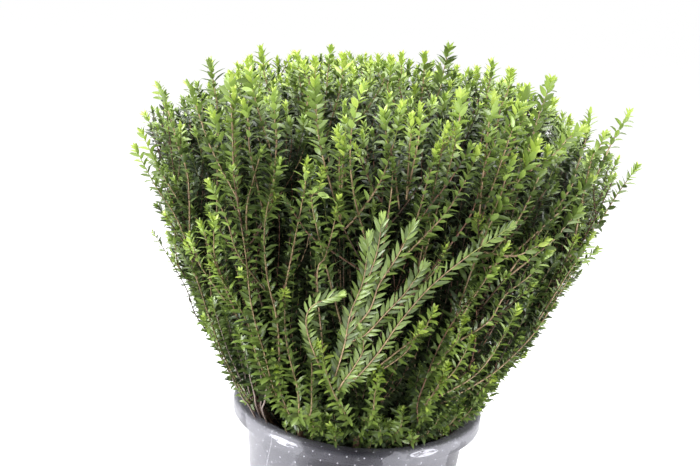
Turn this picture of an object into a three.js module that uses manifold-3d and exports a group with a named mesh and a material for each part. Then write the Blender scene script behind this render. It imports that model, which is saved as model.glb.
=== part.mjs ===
// A potted common myrtle: a dense, vase-shaped clump of upright leafy shoots that fills the whole mouth
// of a dark, bucket-shaped pot, which stands in a loose sleeve of clear film. Lengths are in millimetres,
// +Z is up, and the origin is the middle of the pot's underside. Heights named "height" are counted from
// the pot's brim, and heights named "z" from the underside.

import * as THREE from "three";
import { mergeVertices } from "three/addons/utils/BufferGeometryUtils.js";
import Module from "manifold-3d";

const wasm = await Module();
wasm.setup();

// Pot
const POT_HEIGHT = 275;
const POT_FOOT_RADIUS = 105;
const POT_NECK_RADIUS = 129; // outside of the wall, just under the brim
const POT_WALL = 3;
const POT_FLOOR = 4;
const BRIM_RADIUS = 145;
const BRIM_DEPTH = 12;
const BRIM_ROUNDING = 4;
const BRIM_LIP = 3; // from the inside wall to the brim's flat top
const EDGE_BEVEL = 2;
const POT_SIDES = 48;

// Soil in the pot, and the gap that pieces keep where they rest on each other
const SOIL_BELOW_BRIM = 38;
const SEAT_GAP = 0.3;

// Sleeve of clear film: snug round the brim and slack below it
const SLEEVE_HEM_Z = 3;
const SLEEVE_ABOVE_BRIM = 3;
const SLEEVE_FILM = 0.5;
const SLEEVE_FOOT_RADIUS = 163;
const SLEEVE_PLEATS = 8;
const SLEEVE_PLEAT_DEPTH = 3.5;
const SLEEVE_ROWS = 3;
const SLEEVE_FLARE = 0.7; // power of the slack, below 1 so that it falls free soon under the brim

// Crown: how far the foliage reaches at each height, and how high at each radius
const REACH_AT_BRIM = 140;
const REACH_GAIN = 128;
const WIDEST_HEIGHT = 300;
const CROWN_HEIGHT = 402;
const SHOULDER_DROP = 60;
const WIDEST_REACH = REACH_AT_BRIM + REACH_GAIN;

// The clump's shoots stand in a middle bundle and two rings round it. "from" and "to" are the shares of
// the crown's reach that a ring fills, and "leader" the share at which its main shoots run. Its twigs
// start from "lowest", a share of the leader's height, and turn up to "fan" radians from outwards, or all
// round in the crown's top.
const RINGS = [
  { name: "middle", count: 1, from: 0, to: 0.36, leader: 0, twigs: 8, lowest: 0.62, fan: Math.PI },
  { name: "inner", count: 6, from: 0.36, to: 0.7, leader: 0.54, twigs: 6, lowest: 0.55, fan: Math.PI },
  { name: "outer", count: 12, from: 0.7, to: 1, leader: 0.86, twigs: 8, lowest: 0.03, fan: 1.5 },
];
const FOLIAGE_START = 10; // height of a bough's tip, where it enters its foliage
const BARE_SECTOR = 6; // the outer ring's sector on the left, whose feet are bare
const BARE_START = 46;
const BARE_STEMS = 4;
const BARE_STEM_STEP = 0.12; // between two bare stems' azimuths
const STRAY_REACH = 18; // how far the boldest leaders lean out of the crown's outline
const STRAY_DROP = 22; // how much lower such a leader's tip then is
const STRAY_STEP = 2.4; // turn, in radians, from one leader's share of that to the next
const LEADER_BELOW_DOME = 4;
const TIP_ROOM = 9; // past the crown's outline, for the leaves at the tips
const FOOT_ROOM = 1; // above a mass's start, clear of its bough
const CELL_GAP = 0.6; // between the spaces of two neighbouring masses
const CURVE_ALLOWANCE = 1.4; // for a flat leaf that lies along a round border

// Boughs, leaders and twigs
const BOUGH_FOOT_RADIUS = 4.6;
const BOUGH_FLARE = 1.5;
const BOUGH_FLARE_HEIGHT = 7;
const BOUGH_TIP_RADIUS = 3.2;
const BARE_STEM_RADIUS = 2.2;
const BARE_STEM_TAPER = 0.8;
const BARE_STEM_TIP_ROOM = 2; // under the foliage
const BARE_STEM_SHARES = [0.035, -0.055]; // of the reach, further out or in than the outer leaders
const LEADER_TIP_RADIUS = 1.6;
const HIGHEST_TWIG = 0.9; // of the leader's height
const CROWN_TOP = 0.62; // of the leader's height
const TWIG_RADIUS = 2.1;
const TWIG_TAPER = 0.6;
const TWIG_LENGTH = 104;
const TWIG_SIZES = [0.8, 1.1]; // shares of that length
const TWIG_SHRINK = 0.85; // where one has no room
const SHORTEST_TWIG = 1 / 3;
const TWIG_WANDER = 0.4; // of its place, as a share of the step from one to the next, and of its turn
const TWIG_ANGLE = 0.55; // between a twig and its leader, in radians
const GOLDEN_SHARE = (Math.sqrt(5) - 1) / 2; // of a fan's width, from one twig to the next

// The dense inner part of a mass: how much of its space it fills at each share of its height, and the
// outline of its sections, from -1 to 1 outwards and from -1 to 1 aside
const CORE_RISES = [0.05, 0.24, 0.54, 0.86, 1];
const CORE_FILLS = [0.4, 0.78, 0.8, 0.82, 0.5];
const CORE_WIDENING = 1.13; // how much more of its space it fills aside than outwards
const CORE_BELOW_DOME = 30;
const SECTOR_OUTLINE = [[-1, -0.8], [0.3, -1], [1, -0.55], [1, 0.55], [0.3, 1], [-1, 0.8]];
const ROUND_CORE_SIDES = 8;

// Leaves, each standing for a few real ones
const LEAF_LENGTH = 40;
const LEAF_WIDTH = 15;
const LEAF_SIZES = [0.9, 1.1]; // shares of both
const LEAF_THICKNESS = 1.8;
const LEAF_SUNK = 0.6; // how far a leaf's root runs past the twig's middle
const LEAF_WIDEST = 0.4; // share of its length
const LEAF_ANGLE = 0.8; // between a leaf and its twig
const TIP_LEAF_ANGLE = 0.45;
const TIP_LEAF_SUNK = 4; // of the leaf at a twig's tip, into the twig
const LEAF_PLACES = [0.66, 0.88]; // of a twig's length, a pair at each
const LEADER_LEAF_PLACES = [0.9, 0.985];

const SMALLEST_DETAIL = 0.05; // kept where leaves, twigs and cores are fused
const SEED = 20417;

// Materials
const plainMaterial = (color, roughness, extra = {}) =>
  new THREE.MeshStandardMaterial({ color, roughness, metalness: 0, ...extra });
const potPlastic = plainMaterial(0x2b2b31, 0.35);
const clearFilm = plainMaterial(0xe6e8ee, 0.12, { transparent: true, opacity: 0.3 });
const soilMix = plainMaterial(0x2a1d14, 0.95);
const bark = plainMaterial(0x7a5642, 0.8);
const leafGreens = [0x5e8a2e, 0x3f6b28, 0x4d7a2c].map((green) => plainMaterial(green, 0.45));

// A repeatable source of numbers from 0 to 1
function seededDraw(seed) {
  let state = seed;
  return () => {
    state = (state * 1664525 + 1013904223) % 4294967296;
    return state / 4294967296;
  };
}

const between = ([from, to], share) => from + (to - from) * share;

// The foliage's radius at a height above the brim, and its height at a radius
function reachAt(height) {
  const share = Math.min(1, height / WIDEST_HEIGHT);
  return REACH_AT_BRIM + REACH_GAIN * Math.sin((Math.PI / 2) * share);
}
const domeAt = (radius) => CROWN_HEIGHT - SHOULDER_DROP * (radius / WIDEST_REACH) ** 3;

// A point of the crown, from a share of its reach, an azimuth and a height above the brim
function crownPoint(share, azimuth, height) {
  const radius = share * reachAt(height);
  return new THREE.Vector3(
    radius * Math.cos(azimuth),
    radius * Math.sin(azimuth),
    POT_HEIGHT + height,
  );
}

// A solid from a closed geometry, and back
function solidOf(geometry) {
  const bare = geometry.clone();
  bare.deleteAttribute("normal");
  bare.deleteAttribute("uv");
  const merged = mergeVertices(bare, 1e-4);
  return new wasm.Manifold(
    new wasm.Mesh({
      numProp: 3,
      vertProperties: merged.attributes.position.array,
      triVerts: new Uint32Array(merged.index.array),
    }),
  );
}

function geometryOf(solid) {
  const mesh = solid.getMesh();
  const geometry = new THREE.BufferGeometry();
  geometry.setAttribute("position", new THREE.BufferAttribute(mesh.vertProperties, 3));
  geometry.setIndex(new THREE.BufferAttribute(mesh.triVerts, 1));
  geometry.computeVertexNormals();
  return geometry;
}

// A closed solid through a row of rings, each of the same number of points
function loft(rings) {
  const sides = rings[0].length;
  const last = (rings.length - 1) * sides;
  const index = [];
  for (let side = 0; side < sides; side += 1) {
    const next = (side + 1) % sides;
    for (let ring = 0; ring < last; ring += sides) {
      index.push(ring + side, ring + next, ring + sides + next);
      index.push(ring + side, ring + sides + next, ring + sides + side);
    }
    if (side > 0 && next > 0) {
      index.push(0, next, side);
      index.push(last, last + side, last + next);
    }
  }
  const geometry = new THREE.BufferGeometry();
  const positions = rings.flat().flatMap((point) => [...point]);
  geometry.setAttribute("position", new THREE.Float32BufferAttribute(positions, 3));
  geometry.setIndex(index);
  geometry.computeVertexNormals();
  return geometry;
}

// A round limb through a row of centres, whose rings lie level or across its run
function limb(centres, radii, sides, level) {
  const up = new THREE.Vector3(0, 0, 1);
  const guide = new THREE.Vector3(1, 0, 0);
  const rings = centres.map((centre, i) => {
    const before = centres[Math.max(0, i - 1)];
    const after = centres[Math.min(centres.length - 1, i + 1)];
    const run = level ? up : after.clone().sub(before).normalize();
    const across = run.clone().cross(guide).normalize();
    const along = across.clone().cross(run).normalize();
    return Array.from({ length: sides }, (_, side) => {
      const turn = (2 * Math.PI * side) / sides;
      return centre
        .clone()
        .addScaledVector(along, radii[i] * Math.cos(turn))
        .addScaledVector(across, radii[i] * Math.sin(turn));
    });
  });
  return loft(rings);
}

// A kite-shaped leaf, thickest at its root, that grows from root along direction
function leafGeometry(root, direction, across, length, width) {
  const facing = direction.clone().cross(across).normalize();
  const corner = (out, aside, up) =>
    root.clone().addScaledVector(direction, out).addScaledVector(across, aside).addScaledVector(facing, up);
  const corners = [
    corner(-LEAF_SUNK, 0, LEAF_THICKNESS / 2),
    corner(-LEAF_SUNK, 0, -LEAF_THICKNESS / 2),
    corner(length * LEAF_WIDEST, width / 2, 0),
    corner(length * LEAF_WIDEST, -width / 2, 0),
    corner(length, 0, 0),
  ];
  const geometry = new THREE.BufferGeometry();
  geometry.setAttribute("position", new THREE.Float32BufferAttribute(corners.flatMap((c) => [...c]), 3));
  geometry.setIndex([0, 4, 2, 0, 3, 4, 1, 2, 4, 1, 4, 3, 0, 2, 1, 0, 1, 3]);
  geometry.computeVertexNormals();
  return geometry;
}

// A direction that leans from run by an angle, towards a side
const lean = (run, side, angle) =>
  run.clone().multiplyScalar(Math.cos(angle)).addScaledVector(side, Math.sin(angle));

// The side of run at a turn round it, where turn 0 is outwards from the pot's axis
function sideOf(run, azimuth, turn) {
  const outward = new THREE.Vector3(Math.cos(azimuth), Math.sin(azimuth), 0);
  const across = run.clone().cross(outward).normalize();
  const out = across.clone().cross(run).normalize();
  return out.multiplyScalar(Math.cos(turn)).addScaledVector(across, Math.sin(turn));
}

// The space that one mass keeps to: a share of the reach, a sector, and heights from its start to the dome
function spaceOf(ring, sector) {
  const width = (2 * Math.PI) / ring.count;
  const azimuth = sector * width;
  const bare = ring.name === "outer" && sector === BARE_SECTOR;
  const start = bare ? BARE_START : FOLIAGE_START;
  const side = (sign) => {
    const edge = azimuth + (sign * width) / 2;
    return new THREE.Vector3(-sign * Math.sin(edge), sign * Math.cos(edge), 0);
  };
  const borders = ring.count > 1 ? [side(1), side(-1)] : [];
  const outermost = ring.to === 1;
  const holds = (point) => {
    const radius = Math.hypot(point.x, point.y);
    const height = point.z - POT_HEIGHT;
    const reach = reachAt(height);
    const outerLimit = outermost ? reach + STRAY_REACH + TIP_ROOM : ring.to * reach - CELL_GAP;
    const innerLimit = ring.from > 0 ? ring.from * reach + CELL_GAP + CURVE_ALLOWANCE : -1;
    return (
      height > start + FOOT_ROOM &&
      height < domeAt(Math.min(radius, WIDEST_REACH)) + TIP_ROOM &&
      radius < outerLimit &&
      radius > innerLimit &&
      borders.every((border) => border.dot(point) < -CELL_GAP)
    );
  };
  return { ring, sector, azimuth, width, start, outermost, holds };
}

// A mass's leader, from its bough's tip to its own, as points at even shares of its height
function leaderOf(space) {
  const { ring, azimuth, start } = space;
  const stray = space.outermost ? Math.sin(STRAY_STEP * space.sector + 1) : 0;
  const tipShare = space.outermost ? 0.98 + (STRAY_REACH / WIDEST_REACH) * Math.max(0, stray) : ring.leader;
  const dome = domeAt(Math.min(tipShare, 1) * WIDEST_REACH);
  const tipHeight = dome - LEADER_BELOW_DOME - STRAY_DROP * stray;
  return (share) =>
    crownPoint(between([ring.leader, tipShare], share ** 2), azimuth, between([start, tipHeight], share));
}

// The bough under a mass: one short tapering limb, cut flat on the soil, flared there, and leaning out
function boughGeometry(share, azimuth, tipHeight, footRadius, tipRadius) {
  const foot = SEAT_GAP - SOIL_BELOW_BRIM;
  const heights = [foot, foot + BOUGH_FLARE_HEIGHT, (foot + tipHeight) / 2, tipHeight - SEAT_GAP];
  const centres = heights.map((height) => crownPoint(share, azimuth, height));
  const middle = (footRadius + tipRadius) / 2;
  return limb(centres, [footRadius * BOUGH_FLARE, footRadius, middle, tipRadius], 6, true);
}

// A section of a mass's space, drawn in to a share of its size: each corner's share of the reach, and its
// turn from the mass's azimuth
function coreSection(space, fill) {
  const { ring, width } = space;
  if (ring.count === 1) {
    return Array.from({ length: ROUND_CORE_SIDES }, (_, corner) => [
      ring.to * fill,
      (2 * Math.PI * corner) / ROUND_CORE_SIDES,
    ]);
  }
  return SECTOR_OUTLINE.map(([out, aside]) => [
    (ring.from + ring.to + out * fill * (ring.to - ring.from)) / 2,
    (aside * fill * CORE_WIDENING * width) / 2,
  ]);
}

// The dense inner part of a mass, which its twigs and leaves stand out of
function coreGeometry(space) {
  const rings = CORE_RISES.map((rise, i) =>
    coreSection(space, CORE_FILLS[i]).map(([share, turn]) => {
      const top = domeAt(share * WIDEST_REACH) - CORE_BELOW_DOME;
      return crownPoint(share, space.azimuth + turn, between([space.start, top], rise));
    }),
  );
  return loft(rings);
}

// A pair of leaves on opposite sides of a twig, or one at its tip. Each is left out where it would leave
// the mass's space.
function addLeaves(solids, space, root, run, turn, angle, size) {
  for (const half of [0, Math.PI]) {
    const side = sideOf(run, space.azimuth, turn + half);
    const direction = lean(run, side, angle).normalize();
    const across = run.clone().cross(side).normalize();
    addLeaf(solids, space, root, direction, across, size);
  }
}

function addLeaf(solids, space, root, direction, across, size) {
  const length = LEAF_LENGTH * size;
  const geometry = leafGeometry(root, direction, across, length, LEAF_WIDTH * size);
  const places = geometry.attributes.position;
  const corner = new THREE.Vector3();
  for (let i = 0; i < places.count; i += 1) {
    if (!space.holds(corner.fromBufferAttribute(places, i))) return;
  }
  solids.push(solidOf(geometry));
}

// The tip of a straight twig that leaves the leader at an angle. One that would leave the space is tried
// shorter, and then left out.
function twigTip(space, foot, run, turn, length) {
  const side = sideOf(run, space.azimuth, turn);
  for (let size = length; size > length * SHORTEST_TWIG; size *= TWIG_SHRINK) {
    const tip = foot.clone().addScaledVector(lean(run, side, TWIG_ANGLE), size);
    if (space.holds(tip)) return tip;
  }
  return null;
}

// One mass of foliage, fused to one solid: its core, its leader, the twigs on it and their leaves
function foliageGeometry(space, seed) {
  const draw = seededDraw(seed);
  const leader = leaderOf(space);
  const runAt = (share) => leader(share + 0.01).sub(leader(share - 0.01)).normalize();
  const shares = [0, 0.25, 0.5, 0.75, 1];
  const leaderRadii = shares.map((share) => between([BOUGH_TIP_RADIUS, LEADER_TIP_RADIUS], share));
  const solids = [];
  solids.push(solidOf(coreGeometry(space)));
  solids.push(solidOf(limb(shares.map(leader), leaderRadii, 5, true)));
  const { twigs, lowest, fan } = space.ring;
  for (let i = 0; i < twigs; i += 1) {
    const share = between([lowest, HIGHEST_TWIG], (i + 0.5 + TWIG_WANDER * (draw() - 0.5)) / twigs);
    const spread = share > CROWN_TOP ? Math.PI : fan;
    const turn = spread * (2 * ((i * GOLDEN_SHARE) % 1) - 1) + TWIG_WANDER * (draw() - 0.5);
    const length = TWIG_LENGTH * between(TWIG_SIZES, draw());
    const foot = leader(share);
    const tip = twigTip(space, foot, runAt(share), turn, length);
    if (!tip) continue;
    solids.push(solidOf(limb([foot, tip], [TWIG_RADIUS, TWIG_RADIUS * TWIG_TAPER], 3, false)));
    const run = tip.clone().sub(foot).normalize();
    const spin = Math.PI * draw();
    LEAF_PLACES.forEach((place, pair) => {
      const root = foot.clone().lerp(tip, place);
      const size = between(LEAF_SIZES, draw());
      addLeaves(solids, space, root, run, spin + (pair * Math.PI) / 2, LEAF_ANGLE, size);
    });
    const across = sideOf(run, space.azimuth, spin);
    addLeaf(solids, space, tip.clone().addScaledVector(run, -TIP_LEAF_SUNK), run, across, LEAF_SIZES[0]);
  }
  LEADER_LEAF_PLACES.forEach((place, pair) => {
    const angle = pair === 1 ? TIP_LEAF_ANGLE : LEAF_ANGLE;
    addLeaves(solids, space, leader(place), runAt(place), (pair * Math.PI) / 2, angle, 1);
  });
  const fused = solids.reduce((whole, solid) => whole.add(solid)).simplify(SMALLEST_DETAIL);
  const pieces = fused.decompose();
  return geometryOf(pieces.reduce((best, piece) => (piece.volume() > best.volume() ? piece : best)));
}

// The pot: a tapering bucket with a rolled brim
function potGeometry() {
  const neckZ = POT_HEIGHT - BRIM_DEPTH;
  const innerNeck = POT_NECK_RADIUS - POT_WALL;
  const brimArc = [0, 1, 2].map((step) => {
    const turn = (step * Math.PI) / 4;
    return [
      BRIM_RADIUS - BRIM_ROUNDING + BRIM_ROUNDING * Math.cos(turn),
      POT_HEIGHT - BRIM_ROUNDING + BRIM_ROUNDING * Math.sin(turn),
    ];
  });
  const profile = [
    [0, 0],
    [POT_FOOT_RADIUS - EDGE_BEVEL, 0],
    [POT_FOOT_RADIUS, EDGE_BEVEL],
    [POT_NECK_RADIUS, neckZ - EDGE_BEVEL],
    [BRIM_RADIUS - EDGE_BEVEL, neckZ],
    [BRIM_RADIUS, neckZ + EDGE_BEVEL],
    ...brimArc,
    [innerNeck + BRIM_LIP, POT_HEIGHT],
    [innerNeck, POT_HEIGHT - BRIM_ROUNDING],
    [POT_FOOT_RADIUS - POT_WALL, POT_FLOOR],
    [0, POT_FLOOR],
  ];
  return new THREE.LatheGeometry(profile.map(([r, z]) => new THREE.Vector2(r, z)), POT_SIDES).rotateX(
    Math.PI / 2,
  );
}

// The pot's inner radius at a height above its underside
function potInsideAt(z) {
  const foot = POT_FOOT_RADIUS - POT_WALL;
  const neck = POT_NECK_RADIUS - POT_WALL;
  return between([foot, neck], (z - POT_FLOOR) / (POT_HEIGHT - BRIM_ROUNDING - POT_FLOOR));
}

// The soil: a tapering plug that stands clear of the wall by the seat gap, with a flat top
function soilGeometry() {
  const bottom = POT_FLOOR + SEAT_GAP;
  const top = POT_HEIGHT - SOIL_BELOW_BRIM;
  const flatSides = Math.cos(Math.PI / POT_SIDES); // the wall's flats lie this share nearer than its corners
  const radiusAt = (z) => potInsideAt(z) * flatSides - 2 * SEAT_GAP;
  const profile = [
    [0, bottom],
    [radiusAt(bottom), bottom],
    [radiusAt(top), top],
    [0, top],
  ];
  return new THREE.LatheGeometry(profile.map(([r, z]) => new THREE.Vector2(r, z)), POT_SIDES).rotateX(
    Math.PI / 2,
  );
}

// One level ring of the sleeve's points, on its inner or its outer wall
function sleeveRing(z, wall) {
  const slackFrom = POT_HEIGHT - BRIM_DEPTH;
  const slack = Math.max(0, (slackFrom - z) / slackFrom);
  const snug = BRIM_RADIUS + SEAT_GAP;
  const radius = between([snug, SLEEVE_FOOT_RADIUS], slack ** SLEEVE_FLARE) + wall;
  return Array.from({ length: POT_SIDES }, (_, side) => {
    const azimuth = (2 * Math.PI * side) / POT_SIDES;
    const pleat = SLEEVE_PLEAT_DEPTH * Math.sqrt(slack) * Math.sin(SLEEVE_PLEATS * azimuth);
    return [(radius + pleat) * Math.cos(azimuth), (radius + pleat) * Math.sin(azimuth), z];
  });
}

// The film sleeve: an open, pleated skirt that hugs the brim and hangs slack to just above the ground. Its
// two walls are split along the same corners, so that the film stays equally thick.
function sleeveGeometry() {
  const rows = Array.from({ length: SLEEVE_ROWS + 1 }, (_, row) =>
    between([SLEEVE_HEM_Z, POT_HEIGHT - BRIM_DEPTH], row / SLEEVE_ROWS),
  );
  rows.push(POT_HEIGHT + SLEEVE_ABOVE_BRIM);
  const rings = [0, SLEEVE_FILM].flatMap((wall) => rows.map((z) => sleeveRing(z, wall)));
  const top = rows.length - 1;
  const inner = (row, side) => row * POT_SIDES + side;
  const outer = (row, side) => (rows.length + row) * POT_SIDES + side;
  const index = [];
  for (let side = 0; side < POT_SIDES; side += 1) {
    const next = (side + 1) % POT_SIDES;
    for (let row = 0; row < top; row += 1) {
      index.push(outer(row, side), outer(row, next), outer(row + 1, next));
      index.push(outer(row, side), outer(row + 1, next), outer(row + 1, side));
      index.push(inner(row, side), inner(row + 1, next), inner(row, next));
      index.push(inner(row, side), inner(row + 1, side), inner(row + 1, next));
    }
    index.push(outer(0, side), inner(0, side), outer(0, next));
    index.push(inner(0, side), inner(0, next), outer(0, next));
    index.push(outer(top, side), outer(top, next), inner(top, side));
    index.push(outer(top, next), inner(top, next), inner(top, side));
  }
  const geometry = new THREE.BufferGeometry();
  geometry.setAttribute("position", new THREE.Float32BufferAttribute(rings.flat(2), 3));
  geometry.setIndex(index);
  geometry.computeVertexNormals();
  return geometry;
}

const plant = new THREE.Group();

function addNode(name, geometry, material) {
  const mesh = new THREE.Mesh(geometry, material);
  mesh.name = name;
  plant.add(mesh);
}

addNode("pot", potGeometry(), potPlastic);
addNode("clear_sleeve", sleeveGeometry(), clearFilm);
addNode("potting_soil", soilGeometry(), soilMix);

RINGS.forEach((ring, ringIndex) => {
  for (let sector = 0; sector < ring.count; sector += 1) {
    const label = ring.count > 1 ? `${ring.name}_${sector + 1}` : ring.name;
    const space = spaceOf(ring, sector);
    const { azimuth, start } = space;
    const bough = boughGeometry(ring.leader, azimuth, start, BOUGH_FOOT_RADIUS, BOUGH_TIP_RADIUS);
    addNode(`bough_${label}`, bough, bark);
    const seed = SEED + 97 * sector + 1009 * ringIndex;
    addNode(`foliage_${label}`, foliageGeometry(space, seed), leafGreens[(sector + ringIndex) % 3]);
  }
});

// The bare stems at the left of the brim, which stand round the bare sector's bough
const bareAzimuth = (BARE_SECTOR * 2 * Math.PI) / RINGS[2].count;
for (let stem = 0; stem < BARE_STEMS; stem += 1) {
  const offset = stem - (BARE_STEMS - 1) / 2;
  const share = RINGS[2].leader + BARE_STEM_SHARES[stem % 2];
  const geometry = boughGeometry(
    share,
    bareAzimuth + BARE_STEM_STEP * (offset + Math.sign(offset) / 2),
    BARE_START - BARE_STEM_TIP_ROOM,
    BARE_STEM_RADIUS,
    BARE_STEM_RADIUS * BARE_STEM_TAPER,
  );
  addNode(`bare_stem_${stem + 1}`, geometry, bark);
}

export default plant;
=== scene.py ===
"""The looks of a potted common myrtle: a vase-shaped clump of upright, small-leaved shoots in a dark
bucket-shaped pot, in a loose sleeve of clear film. Lengths are in millimetres until a mesh is made, and
heights named "height" are counted from the pot's brim."""

import math
import random
from functools import reduce
from types import SimpleNamespace

import bmesh
import bpy
import numpy as np
from mathutils import Matrix, Vector, noise


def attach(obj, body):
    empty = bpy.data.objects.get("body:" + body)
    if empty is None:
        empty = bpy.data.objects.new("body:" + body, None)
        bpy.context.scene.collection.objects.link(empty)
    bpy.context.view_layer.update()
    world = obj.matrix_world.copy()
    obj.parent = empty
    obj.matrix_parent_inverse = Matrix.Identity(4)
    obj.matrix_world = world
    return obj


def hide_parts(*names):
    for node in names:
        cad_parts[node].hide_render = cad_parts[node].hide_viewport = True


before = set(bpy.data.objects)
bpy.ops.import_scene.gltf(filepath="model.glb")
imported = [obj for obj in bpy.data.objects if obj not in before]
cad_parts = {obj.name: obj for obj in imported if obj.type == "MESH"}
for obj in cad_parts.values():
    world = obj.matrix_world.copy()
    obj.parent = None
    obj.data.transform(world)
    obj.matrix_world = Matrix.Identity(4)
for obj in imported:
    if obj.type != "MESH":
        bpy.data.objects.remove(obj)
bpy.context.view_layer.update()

MM = 0.001
SEED = 20417

# Pot, soil and sleeve, as in the part's source
POT_HEIGHT = 275
POT_FOOT_RADIUS = 105
POT_NECK_RADIUS = 129
POT_WALL = 3
POT_FLOOR = 4
BRIM_RADIUS = 145
BRIM_DEPTH = 12
SOIL_BELOW_BRIM = 38
SLEEVE_HEM_Z = 3
SLEEVE_TOP_Z = POT_HEIGHT + 3
SLEEVE_FOOT_RADIUS = 163
SLEEVE_SNUG_RADIUS = BRIM_RADIUS + 0.3

# The film's fold in over the brim, which the source leaves out: radii and heights over the floor
SLEEVE_FOLD = [
    (144.6, 279.4),
    (141, 279),
    (136, 277.6),
    (131, 276.4),
    (127, 274.6),
    (124.8, 271),
    (124.2, 265),
]

# Crown, limbs and twigs, as in the part's source
REACH_AT_BRIM = 140
REACH_GAIN = 128
WIDEST_HEIGHT = 300
CROWN_HEIGHT = 402
SHOULDER_DROP = 60
WIDEST_REACH = REACH_AT_BRIM + REACH_GAIN
RING_SIZES = [
    dict(name="middle", count=1, start=0, end=0.36, leader=0, twigs=8, lowest=0.62, fan=math.pi),
    dict(name="inner", count=6, start=0.36, end=0.7, leader=0.54, twigs=6, lowest=0.55, fan=math.pi),
    dict(name="outer", count=12, start=0.7, end=1, leader=0.86, twigs=8, lowest=0.03, fan=1.5),
]
RINGS = [SimpleNamespace(**sizes) for sizes in RING_SIZES]
FOLIAGE_START = 10
BARE_SECTOR = 6
BARE_START = 46
BARE_STEMS = 4
BARE_STEM_STEP = 0.12
BARE_STEM_SHARES = [0.035, -0.055]
STRAY_REACH = 18
STRAY_DROP = 22
STRAY_STEP = 2.4
LEADER_BELOW_DOME = 4
TIP_ROOM = 9
FOOT_ROOM = 1
CELL_GAP = 0.6
CURVE_ALLOWANCE = 1.4
BOUGH_FOOT_RADIUS = 4.6
BOUGH_TIP_RADIUS = 3.2
BARE_STEM_RADIUS = 2.2
HIGHEST_TWIG = 0.9
CROWN_TOP = 0.62
TWIG_LENGTH = 104
TWIG_SIZES = (0.8, 1.1)
TWIG_SHRINK = 0.85
SHORTEST_TWIG = 1 / 3
TWIG_WANDER = 0.4
TWIG_ANGLE = 0.55
LEAF_PAIRS_ON_TWIG = 2
LEAF_REACH = 15
GOLDEN_SHARE = (math.sqrt(5) - 1) / 2
GOLDEN_TURN = 2 * math.pi * (1 - GOLDEN_SHARE)
LEADER_STEPS = 16
TWIG_STEPS = 6

# The film's looks, across its width and up its height, in metres on the brim
FILM_WIDTH = 2 * math.pi * BRIM_RADIUS * MM
FILM_MIDDLE = math.radians(269) * BRIM_RADIUS * MM
FILM_SEAM = math.radians(231.6) * BRIM_RADIUS * MM
FILM_SEAM_HALF_WIDTH = 0.0006
FILM_STITCH = 0.0024
FILM_DOTS = (FILM_WIDTH / 50, 0.017)
FILM_HOLE_AREA = (0.9e-6, 0.4e-6)
# Painted glints over the brim, and the place where no film clings and no painted reflection is drawn: turn
# in degrees, height, and half sizes
FILM_GLINTS = [(237, 0.2735, 0.02, 0.0026), (238.5, 0.2695, 0.013, 0.0012), (300, 0.274, 0.018, 0.004)]
FILM_FREE = (259.5, 0.283, 0.034, 0.025)

# Camera, whose place is in millimetres, and the photograph's size and focal length in pixels
CAMERA_PLACE = (-25.2, -1066, 738)
CAMERA_PITCH = math.radians(76.1)
CAMERA_ROLL = math.radians(4.8)
CAMERA_LENS = 50
SENSOR_WIDTH = 36
CAMERA_TURN = Matrix.Rotation(CAMERA_PITCH, 3, "X") @ Matrix.Rotation(CAMERA_ROLL, 3, "Z")
PHOTO_SIZE = (700, 466)
PHOTO_FOCUS = 972.2
CAMERA_FROM_BRIM = np.array(CAMERA_PLACE) - (0, 0, POT_HEIGHT)

# Lights, which face the crown's middle: name, place and size in metres, and power in watts
LIGHTS = [
    ("window", (-2.0, -0.7, 1.55), 1.4, 84),
    ("fill", (1.9, -0.5, 1.35), 1.3, 40),
    ("top", (0.1, 0.2, 2.3), 1.4, 30),
]
LIGHTS_FACE = Vector((0, 0, 0.45))

UP = Vector((0, 0, 1))
# A direction along which no limb runs, from which the sides of a limb are taken
OFF_AXIS = (0.31, -0.87, 0.38)


def between(limits, share):
    return limits[0] + (limits[1] - limits[0]) * share


def seeded_draw(seed):
    """The source's own repeatable numbers from 0 to 1."""
    state = seed

    def draw():
        nonlocal state
        state = (state * 1664525 + 1013904223) % 4294967296
        return state / 4294967296

    return draw


def reach_at(height):
    share = max(0.0, min(1.0, height / WIDEST_HEIGHT))
    return REACH_AT_BRIM + REACH_GAIN * math.sin(math.pi / 2 * share)


def dome_at(radius):
    return CROWN_HEIGHT - SHOULDER_DROP * (radius / WIDEST_REACH) ** 3


def crown_point(share, azimuth, height):
    """A point at a share of the crown's reach, which goes on narrowing at the same slant under the brim."""
    if height > 0:
        reach = reach_at(height)
    else:
        reach = REACH_AT_BRIM + height * REACH_GAIN * math.pi / (2 * WIDEST_HEIGHT)
    radius = share * reach
    return Vector((radius * math.cos(azimuth), radius * math.sin(azimuth), POT_HEIGHT + height))


def linear(colour):
    """A colour from 0 to 255 as it looks, as the shader's own numbers."""
    shares = [value / 255 for value in colour]
    return [s / 12.92 if s <= 0.04045 else ((s + 0.055) / 1.055) ** 2.4 for s in shares]


# Finishes


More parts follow.
